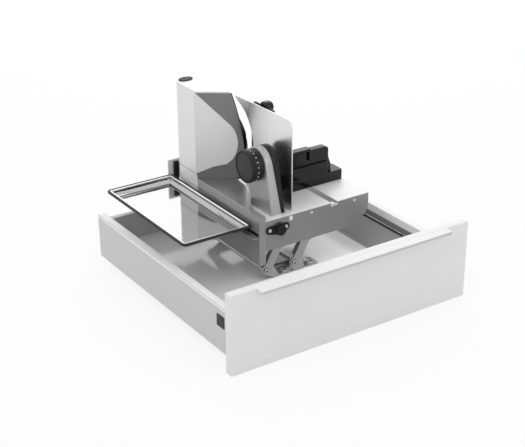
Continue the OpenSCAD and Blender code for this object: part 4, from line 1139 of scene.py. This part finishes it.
@dataclass
class Tower:
    """The motor tower with the blade, its drive and its guard.

    Attributes:
        lean: Angle of the diagonal wall, in degrees.
        reach: How far the polished wall goes beyond the CAD wall's edge; below zero it stops short.
        rim: Width of the black rim outside the polished wall's edge, painted shadow of the blade's
            edge.
        curve: Height of the edge's curved part, from the top down.
    """

    lean: float = 35.5
    reach: float = -0.0008
    rim: float = 0.0008
    curve: float = 0.128

    def build(self) -> None:
        """Builds and dresses the tower."""
        dress(FINISH.tower, "motor_housing", "tower_top", "plinth", "wall_cover")
        dress(FINISH.deck, "slice_deck")
        dress(FINISH.black, "blade_guard", "gear_case")
        dress(FINISH.grey, "switch_button")
        dress(FINISH.blade, "blade", edge=0.0001)
        dress(FINISH.pin, "blade_cap", "blade_shaft")
        dress(FINISH.iron, "motor_stator", "motor_rotor")
        dress(FINISH.nylon, "drive_gear", edge=0.0002)
        dress(FINISH.wall, "motor_shelf")
        self.wall()
        self.seam()

    def wall(self) -> None:
        """The polished diagonal wall and the black rim along its curved edge, which is painted
        shadow of the blade's edge.
        """
        low, high = corners("diagonal_wall")
        mesh = frame["nodes"]["diagonal_wall"].data
        points = np.array([v.co for v in mesh.vertices])
        way = np.array([math.cos(math.radians(self.lean)), -math.sin(math.radians(self.lean))])
        start = np.array([low[0], high[1] - 0.0016])
        along = (points[:, :2] - start) @ way
        top = high[2]
        full = float(along.max())
        upper = float(along[points[:, 2] > top - 1e-4].max())
        bend = top - self.curve
        z = np.linspace(bend, top, 28)
        edge = full - (full - upper) * ((z - bend) / (top - bend)) ** 1.5
        curve = np.stack([edge, z], axis=1)
        floor = np.array([[full, low[2]]])
        thick = 0.002
        grown = np.vstack([floor, curve]) + (self.reach, 0.0)
        soft, proud = 0.0003, 0.0002
        face = Drawn(np.vstack([[(0.0, low[2])], grown, [(0.0, top)]]))
        sheet = slab(face, 0.0, thick, Axis.Y, soft, 1)
        # Black strip along the curved edge: painted shadow of the blade's edge.
        shadow_edging = Drawn(np.vstack([grown - (0.0012, 0.0), (grown + (self.rim, 0.0))[::-1]]))
        strip = slab(shadow_edging, -proud, thick + proud, Axis.Y, soft, 1)
        turn = (Matrix.Translation((low[0], high[1] - thick, 0.0))
                @ Matrix.Rotation(math.radians(-self.lean), 4, "Z"))
        piece("polished_wall", [moved(sheet, turn)], FINISH.dark_wall, "diagonal_wall")
        piece("polished_wall_painted_shadow_rim", [moved(strip, turn)], FINISH.black, "diagonal_wall", False)

    def seam(self) -> None:
        """The thin dark joint between plinth and housing, and a black plate on the rear hook's
        front face as painted shade.
        """
        low, high = corners("motor_housing")
        x0, x1 = low[0] - 0.00005, high[0]
        path = [(x1, high[1] + 0.00005), (x0, high[1] + 0.00005), (x0, high[1] - 0.0975)]
        line = slab(ribbon(path, 0.0005, 0.025, 10), low[2] - 0.0004, low[2] + 0.0003, Axis.Z,
                    0.0001, 1)
        piece("plinth_seam", [line], FINISH.black, "plinth", False)
        # Black plate on the rear hook's front face: painted shade.
        back = corners("plinth")[1][1] - 0.0021
        shade_plate = block((x0 + 0.0015, back - 0.006, corners("plinth")[0][2] + 0.0005),
                     (x0 + 0.0135, back + 0.0003, low[2] - 0.006), 0.0006)
        piece("rear_hook_painted_shade_plate", [shade_plate], FINISH.black, "plinth", False)


@dataclass
class SliceGauge:
    """The slice gauge: plate, arm, slider and knob.

    Attributes:
        front_radius: Radius of the plate's front top corner.
        tip: How far the plate's rear top corner reaches behind the start of its curve.
        gap_low: Distance of the rear edge from the blade at its lower part.
        gap_high: The same at its top.
        top_angle: Angle above the blade's axis where the rear edge starts, in degrees.
        full_angle: Angle from which the distance is the larger one, in degrees.
        marks: Number of white marks round the knob.
        ribs: Number of ribs round its drum.
        painted_shade_reach: How far the arm's black core goes on towards the plate, as painted
            shade in the gap between arm and plate.
        foot_width: Width of the arm's light shell at its foot.
        head_width: The same at its head.
    """

    front_radius: float = 0.018
    tip: float = 0.007
    gap_low: float = 0.022
    gap_high: float = 0.037
    top_angle: float = 69.4
    full_angle: float = 50.0
    marks: int = 20
    ribs: int = 60
    painted_shade_reach: float = 0.006
    foot_width: float = 0.0262
    head_width: float = 0.0172

    def build(self) -> None:
        """Builds and dresses the gauge."""
        self.plate()
        self.arm()
        self.knob()
        dress(FINISH.black, "gauge_slider", edge=0.001)
        dress(FINISH.pin, "guide_rod")

    def plate(self) -> None:
        """The flat plate, whose rear edge runs round the blade."""
        low, high = corners("gauge_plate")
        blade_low, blade_high = corners("blade")
        centre = (blade_low + blade_high) / 2
        radius = (blade_high[2] - blade_low[2]) / 2
        small, large = radius + self.gap_low, radius + self.gap_high
        bottom = -math.asin((centre[2] - low[2] - 0.0002) / small)
        turn = np.linspace(math.radians(self.top_angle), bottom, 40)
        reach = small + (large - small) * np.clip(np.degrees(turn) / self.full_angle, 0.0, 1.0)
        y = centre[1] - reach * np.cos(turn)
        z = centre[2] + reach * np.sin(turn)
        z[0] = min(z[0], high[2] - 0.008)
        rear = np.stack([y, z], axis=1)
        tip = (rear[0][0] + self.tip, rear[0][1] + 0.006)
        front = arcs(np.array([(low[1], low[2]), (low[1], high[2] - 0.0002),
                               (tip[0], tip[1] + 0.0026)]),
                     np.array([0.0, self.front_radius, 0.0]), 10)[10:23]
        sheet = slab(Drawn(np.vstack([front, [tip], rear])), low[0], high[0], Axis.X, 0.0005, 2)
        piece("gauge_plate_polished", [sheet], FINISH.gauge, "gauge_plate")

    def arm(self) -> None:
        """The arm: a light shell that narrows upwards, and a black core against the plate, whose
        reach out towards the plate is painted shade.
        """
        low, high = corners("support_arm")
        knob_low, knob_high = corners("thickness_knob")
        centre = ((knob_low[1] + knob_high[1]) / 2, (knob_low[2] + knob_high[2]) / 2)
        radius = high[2] - centre[1]
        turn = np.radians(np.arange(165, -16, -7.5))
        head = np.stack([centre[0] + radius * np.cos(turn), centre[1] + radius * np.sin(turn)],
                        axis=1)
        outline = np.vstack([[(low[1], low[2])], head, [(centre[0] + radius * 0.6, low[2])]])
        width = high[0] - low[0]
        shell = slab(Drawn(outline), low[0], high[0], Axis.X, 0.0030, 4)
        core_and_shade = slab(Drawn(outline), low[0], high[0], Axis.X, 0.0015, 2)
        share = self.share(shell[0][:, 2], low, centre)
        shell[0][:, 0] = low[0] + (shell[0][:, 0] - low[0]) * share / width
        rest = width - self.share(core_and_shade[0][:, 2], low, centre) + 0.0006
        # The black core is part of the arm; where it stands out past the arm towards the plate it
        # is painted shade.
        side = high[0] + self.painted_shade_reach
        core_and_shade[0][:, 0] = side - (high[0] - core_and_shade[0][:, 0]) * (rest + self.painted_shade_reach) / width
        core_and_shade[0][:, 1:] += (np.array(centre) - core_and_shade[0][:, 1:]) * (0.012, 0.012)
        core_and_shade[0][:, 2] = np.maximum(core_and_shade[0][:, 2], low[2] + 0.0001)
        piece("arm_light_shell", [shell], FINISH.arm, "support_arm")
        piece("arm_black_core_and_painted_shade", [core_and_shade], FINISH.black, "support_arm", False)

    def share(self, z: Array, low: Array, centre: Point2) -> Array:
        """Width of the light shell at a height."""
        rise = np.clip((z - low[2]) / (centre[1] + 0.02 - low[2]), 0.0, 1.0)
        return self.foot_width + (self.head_width - self.foot_width) * rise

    def knob(self) -> None:
        """The knob: ribbed drum with a plain ring, its grey face and the white marks."""
        low, high = corners("thickness_knob")
        centre = ((low[1] + high[1]) / 2, (low[2] + high[2]) / 2)
        radius = (high[1] - low[1]) / 2
        x0 = low[0]
        end = corners("support_arm")[0][0] - 0.003
        face = corners("knob_face")
        hollow = (face[1][1] - face[0][1]) / 2 + 0.0004
        drum = turned(near(hollow, x0, [(0, 3.5), (0, 0.8)])
                      + near(radius, x0, [(-3.0, 0), (-1.2, 0.6), (-0.4, 1.8), (0, 3.0)])
                      + near(radius, end, [(0, -21.2), (-1.2, -20.0)]),
                      centre, Axis.X, self.ribs * 4, waves=self.ribs, depth=0.0009)
        neck = radius * 0.33
        ring = turned(near(radius, end, [(-1.2, -20.2), (-0.6, -19.6), (-0.6, -1.2), (-1.6, -0.2)])
                      + [(radius * 0.4, end), (neck, end), (neck, end + 0.0028)],
                      centre, Axis.X, 96)
        piece("knob_ribbed_drum", [drum, ring], FINISH.black, "thickness_knob")
        rim = hollow - 0.0006
        rows = near(rim, face[0][0], [(0, 1.2), (-0.6, 0.4), (-1.6, 0)])
        disc = turned([(rim, face[1][0]), *rows], centre, Axis.X, 72)
        piece("knob_grey_face", [disc], FINISH.grey, "knob_face")
        mark = block((end - 0.0145, centre[0] - 0.0009, centre[1] + radius - 0.0010),
                     (end - 0.0115, centre[0] + 0.0009, centre[1] + radius - 0.0003), 0.0002)
        middle = (0.0, centre[0], centre[1])
        marks = [moved(mark, about(middle, 360.0 / self.marks * i + 7.0))
                 for i in range(self.marks)]
        piece("knob_white_marks", marks, FINISH.mark, "thickness_knob", False)


@dataclass
class Carriage:
    """The sliding carriage with its remnant holder.

    Attributes:
        edge: Radius of the moulding's outer edges.
        skin: Thickness of its walls.
        pitch: Distance between the holder's teeth.
    """

    edge: float = 0.0014
    skin: float = 0.006
    pitch: float = 0.012

    def build(self) -> None:
        """Builds and dresses the carriage."""
        self.body()
        self.holder()
        dress(FINISH.table, "carriage_guide")

    def body(self) -> None:
        """Base plate, sill, front tier, wall and the thick block with its rounded corner."""
        low, high = corners("carriage_body")
        x0, y0, z0 = low
        x1, y1, top = high
        sill = z0 + 0.0242
        tier_x, tier_z = x0 + 0.151, z0 + 0.0517
        wall_y, wall_x = y0 + 0.007, x0 + 0.156
        left = wall_x - 0.050
        e = self.edge
        plate = block((x0 + 0.0003, y0 + 0.02, z0), (x1 - 0.0003, y1, z0 + self.skin), e,
                      Axis.Z, 0.004)
        apron = block((x0, y0, z0), (x1, y0 + 0.041, sill), e, Axis.Z, 0.004)
        tier = block((x0 + 0.0003, y0 + 0.0003, sill - 0.003), (tier_x, wall_y + 0.002, tier_z),
                     2 * e, Axis.Y, 0.002)
        wall = block((x0 + 0.0006, wall_y, sill - 0.004),
                     (wall_x - 0.002, wall_y + self.skin, top - 0.0012), e, Axis.Y, 0.003)
        outline = Cornered(
            [(left, sill - 0.004), *near(wall_x, sill, [(8, -4), (6.5, 17.5), (0, 36)]),
             (wall_x, top), (left, top)],
            [0.001, 0.001, 0.010, 0.014, 0.008, 0.002], 8)
        thick = slab(outline, wall_y + 0.0002, wall_y + 0.020, Axis.Y, e)
        piece("carriage_moulding", [plate, apron, tier, wall, thick], FINISH.gloss,
              "carriage_body")

    def holder(self) -> None:
        """The remnant holder: side plate with its teeth, bridge over the wall, web and grip."""
        low, high = corners("remnant_holder")
        body_low, body_high = corners("carriage_body")
        x0 = low[0] + 0.004
        x1 = x0 + 0.004
        y0, y1 = body_low[1] + 0.0133, high[1]
        sill = body_low[2] + 0.0245
        saddle = body_high[2] + 0.0003
        brow = high[2] - 0.0142
        panel = slab(Cornered(near(y0, sill, [(-12, 62), (0, 58), (0, 0)])
                              + [(y1, sill), *near(y1, brow, [(0, -12), (-12, 0)]),
                                 (y0 - 0.012, brow)],
                              [0.002, 0.001, 0.001, 0.002, 0.006, 0.006, 0.004]),
                     x0, x1, Axis.X, 0.0008)
        skirt = block((x0, body_low[1] + 0.0413, body_low[2] + 0.0063), (x1, y1, sill + 0.001),
                      0.0006)
        bridge = slab(ribbon([(x0 + 0.001, saddle + 0.004), (high[0] - 0.003, saddle + 0.004),
                              (high[0] - 0.003, saddle - 0.0215)], 0.0058, 0.006, 6),
                      body_low[1] + 0.001, body_low[1] + 0.0064, Axis.Y, 0.0009)
        tread = block((x0, body_low[1] + 0.004, saddle),
                      (high[0] - 0.001, y0 + 0.006, saddle + 0.0068), 0.0012)
        web = slab(Cornered(near(x0, saddle, [(0, 0), (60, 0), (55, 12)])
                            + near(x0, brow, [(20, -30), (0, -10)]),
                            [0.001, 0.002, 0.010, 0.02, 0.002]), y0, y0 + 0.006, Axis.Y, 0.001)
        knob_y, knob_z = body_low[1] + 0.036, brow - 0.002
        grip = slab(Belt([(knob_y, knob_z), (knob_y + 0.006, knob_z)], [0.0112, 0.0112], 64),
                    x0 - 0.002, x0 + 0.018, Axis.X, 0.004, 5)
        teeth = [turned([(0.0013, x0 + 0.0002), (0.0013, x0 - 0.0026), (0.0002, x0 - 0.004)],
                        (y, z), Axis.X, 12)
                 for y in np.arange(y0 + self.pitch, y1 - 0.006, self.pitch)
                 for z in np.arange(sill + 0.009, saddle, self.pitch)]
        piece("remnant_holder_moulding", [panel, skirt, bridge, tread, web, grip], FINISH.gloss,
              "remnant_holder")
        piece("remnant_holder_teeth", teeth, FINISH.pin, "remnant_holder", False)


@dataclass
class Tray:
    """The tray at the left of the base.

    Attributes:
        bead: Width of the dark rim, whose darkness is painted reflection.
        cove: Radius of the curve from the wall to the pan's floor.
    """

    bead: float = 0.0052
    cove: float = 0.0075

    def build(self) -> None:
        """Builds the polished pan, its dark rim, a bright bead, a thin dark line inside the rim,
        and the hooks; the rim's darkness and the line are painted reflection.
        """
        low, high = corners("tray_rim")
        under = corners("tray")[0][2]
        pan_z = high[2] - 0.0150
        outline = oblong((low[0], low[1]), (high[0], high[1]), 0.010, 8)
        top = high[2]
        w = self.bead
        turn = np.linspace(0.0, np.pi / 2, 9)
        inner = w + 0.0046
        cove = np.stack([inner + self.cove * (1 - np.cos(turn)),
                         pan_z + self.cove * (1 - np.sin(turn))], axis=1)
        back = 0.0010
        profile = np.vstack([
            [(inner + self.cove + 0.004, pan_z - back), (inner + self.cove, pan_z - back),
             (inner - back, pan_z + self.cove), (inner - back, top - 0.0046),
             (0.0012, top - 0.0046), (0.0010, top - 0.0034), (w - 0.0006, top - 0.0032),
             (inner, top - 0.0032)],
            cove, [(inner + self.cove + 0.004, pan_z)]])
        pan = loft(outline, profile, Axis.Z)
        turn = np.linspace(0.0, np.pi, 7)
        ring = np.vstack([
            [(0.0, top - 0.0050)],
            np.stack([w / 2 - w / 2 * np.cos(turn), top - w / 4 + w / 4 * np.sin(turn)], axis=1),
            [(w, top - 0.0034), (w - 0.0014, top - 0.0050)]])
        rim = loft(outline, ring, Axis.Z, capped=False)
        # A thin dark ring just inside the rim: painted reflection of dark surroundings.
        dark_line_inset = inner + 0.0003
        fine = np.array([[-0.0004, -0.0052], [-0.0004, -0.0042], [0.0004, -0.0042],
                         [0.0004, -0.0052], [-0.0004, -0.0052]])
        painted_dark_line = loft(outline, fine + (dark_line_inset, top), Axis.Z, capped=False)
        hook_x = high[0] - 0.0045
        hooks = [block((hook_x, y - 0.007, under), (hook_x + 0.003, y + 0.007, top - 0.0046),
                       0.0006) for y in (low[1] + 0.036, high[1] - 0.046)]
        bead = np.vstack([
            [(w - 0.0002, top - 0.0036)],
            np.stack([w + 0.0017 - 0.0019 * np.cos(turn), top - 0.0018 + 0.0012 * np.sin(turn)],
                     axis=1),
            [(w + 0.0036, top - 0.0036)]])
        bright = loft(outline, np.vstack([bead, bead[:1]]), Axis.Z, capped=False)
        piece("tray_bright_bead", [bright], FINISH.chrome, "tray", False)
        piece("tray_polished_pan", [pan], FINISH.tray, "tray")
        piece("tray_rim_painted_dark", [rim, painted_dark_line], FINISH.rim_painted_dark, "tray_rim")
        piece("tray_hooks", hooks, FINISH.grey, "tray", False)


@dataclass
class Camera:
    """The camera, at the place that the drawer's straight edges in the photograph give.

    Attributes:
        place: Position in the drawer's own frame, from the front panel's face.
        yaw: Turn about the vertical axis, in degrees.
        pitch: Tilt below the horizon, in degrees.
        roll: Turn about the line of sight, in degrees.
        lens: Focal length in millimetres.
        sensor: Width of the sensor in millimetres.
    """

    place: Tuple[float, float, float] = (-1.4177, -1.7920, 1.3173)
    yaw: float = -33.66
    pitch: float = 25.09
    roll: float = -0.29
    lens: float = 87.46
    sensor: float = 36.0

    def build(self) -> None:
        """Creates the camera and makes it the scene's."""
        data = bpy.data.cameras.new("view_camera")
        data.lens = self.lens
        data.sensor_width = self.sensor
        data.sensor_fit = "HORIZONTAL"
        data.clip_end = 50.0
        camera = bpy.data.objects.new("view_camera", data)
        front = corners("front_panel")[0][1]
        turn = (Matrix.Rotation(math.radians(self.yaw), 4, "Z")
                @ Matrix.Rotation(math.radians(90.0 - self.pitch), 4, "X")
                @ Matrix.Rotation(math.radians(self.roll), 4, "Z"))
        where = Vector((self.place[0], self.place[1] + front, self.place[2]))
        camera.matrix_world = Matrix.Translation(where) @ turn
        bpy.context.scene.collection.objects.link(camera)
        bpy.context.scene.camera = camera


@dataclass
class Studio:
    """A pale floor, a white surround and soft lamps.

    Attributes:
        floor_size: Half the width of the floor.
        floor_drop: Distance of the floor below the part.
        horizon_light: Level of the surround's light from the side.
        zenith_light: The same from above.
        glow: Share of the floor's own white where the background shows.
        lamps: Place, target, size and power of each lamp.
    """

    floor_size: float = 6.0
    floor_drop: float = 0.0006
    horizon_light: float = 0.56
    zenith_light: float = 0.88
    glow: float = 0.82
    lamps: List[Tuple[Point3, Point3, float, float]] = field(
        default_factory=lambda: [
            ((-1.6, -0.6, 2.9), (0.0, 0.0, 0.1), 2.0, 14.0),
            ((0.9, -2.6, 1.6), (0.0, 0.0, 0.15), 1.8, 8.0),
            ((1.5, 2.2, 1.5), (0.0, 0.0, 0.1), 3.1, 25.0),
            ((-1.1, 1.0, 0.5), (-0.28, 0.15, 0.05), 0.7, 0.6),
        ])

    def build(self) -> None:
        """Builds the surround, the floor and the lamps."""
        scene = bpy.context.scene
        scene.view_settings.view_transform = "Standard"
        self.world(scene)
        self.ground()
        for number, (where, target, size, power) in enumerate(self.lamps):
            self.lamp(f"soft_lamp_{number}", where, target, size, power)

    def world(self, scene: bpy.types.Scene) -> None:
        """White for the camera and for reflections, grey as a light.

        Args:
            scene: Scene that gets the world.
        """
        world = bpy.data.worlds.new("studio_surround")
        world.use_nodes = True
        tree = world.node_tree
        tree.nodes.clear()
        where = add_node(tree, "TexCoord", {}).outputs["Generated"]
        split = add_node(tree, "SeparateXYZ", {"Vector": where})
        rise = add_node(tree, "MapRange", {
            "Value": split.outputs["Z"], "From Min": 0.0, "From Max": 1.0,
            "To Min": self.horizon_light, "To Max": self.zenith_light,
        })
        light = add_node(tree, "Background", {"Color": WHITE, "Strength": rise.outputs["Result"]})
        white = add_node(tree, "Background", {"Color": WHITE})
        mix = add_node(tree, "MixShader", {
            "Fac": self.seen(tree), 1: light.outputs["Background"],
            2: white.outputs["Background"],
        })
        add_node(tree, "OutputWorld", {"Surface": mix.outputs["Shader"]})
        scene.world = world

    def seen(self, tree: bpy.types.NodeTree) -> bpy.types.NodeSocket:
        """Share of the rays that show the background: to the camera or in a reflection.

        Args:
            tree: Node tree of the world or of the floor's material.

        Returns:
            Output that is one for such a ray.
        """
        path = add_node(tree, "LightPath", {})
        rays = path.outputs["Is Camera Ray"]
        for other in ("Is Glossy Ray", "Is Transmission Ray"):
            most = add_node(tree, "Math", {0: rays, 1: path.outputs[other]}, operation="MAXIMUM")
            rays = most.outputs["Value"]
        return rays

    def ground(self) -> None:
        """The floor: white to the camera save for the object's soft shadow."""
        low = CAD_BOX[0][2] - self.floor_drop
        s = self.floor_size
        mesh = bpy.data.meshes.new("studio_floor")
        mesh.from_pydata([(-s, -s, low), (s, -s, low), (s, s, low), (-s, s, low)], [],
                         [(0, 1, 2, 3)])
        material = bpy.data.materials.new("pale_studio_floor")
        material.use_nodes = True
        tree = material.node_tree
        shader = tree.nodes["Principled BSDF"]
        feed(tree, shader, {"Base Color": (0.9, 0.9, 0.9, 1.0), "Roughness": 0.9})
        glow = add_node(tree, "Emission", {"Strength": 1.0})
        share = add_node(tree, "Math", {0: self.seen(tree), 1: self.glow}, operation="MULTIPLY")
        mix = add_node(tree, "MixShader", {
            "Fac": share.outputs["Value"], 1: shader.outputs["BSDF"],
            2: glow.outputs["Emission"],
        })
        feed(tree, tree.nodes["Material Output"], {"Surface": mix.outputs["Shader"]})
        mesh.materials.append(material)
        floor = bpy.data.objects.new("studio_floor", mesh)
        bpy.context.scene.collection.objects.link(floor)

    def lamp(self, name: str, where: Sequence[float], target: Sequence[float], size: float,
             power: float) -> None:
        """Adds one soft lamp that points at a target.

        Args:
            name: Name of the lamp.
            where: Its place.
            target: The point that it faces.
            size: Width of its face.
            power: Its power in watts.
        """
        data = bpy.data.lights.new(name, "AREA")
        data.size = size
        data.energy = power
        lamp = bpy.data.objects.new(name, data)
        way = Vector(target) - Vector(where)
        lamp.matrix_world = (Matrix.Translation(Vector(where))
                             @ way.to_track_quat("-Z", "Y").to_matrix().to_4x4())
        bpy.context.scene.collection.objects.link(lamp)


def main() -> None:
    """Builds the camera, the studio and every sub-assembly in order."""
    logging.basicConfig(level=logging.INFO, format="%(name)s: %(message)s")
    Camera().build()
    Studio().build()
    for group in (Drawer, SwingMount, Base, Tower, SliceGauge, Carriage, Tray):
        group().build()


if __name__ == "__main__":
    main()
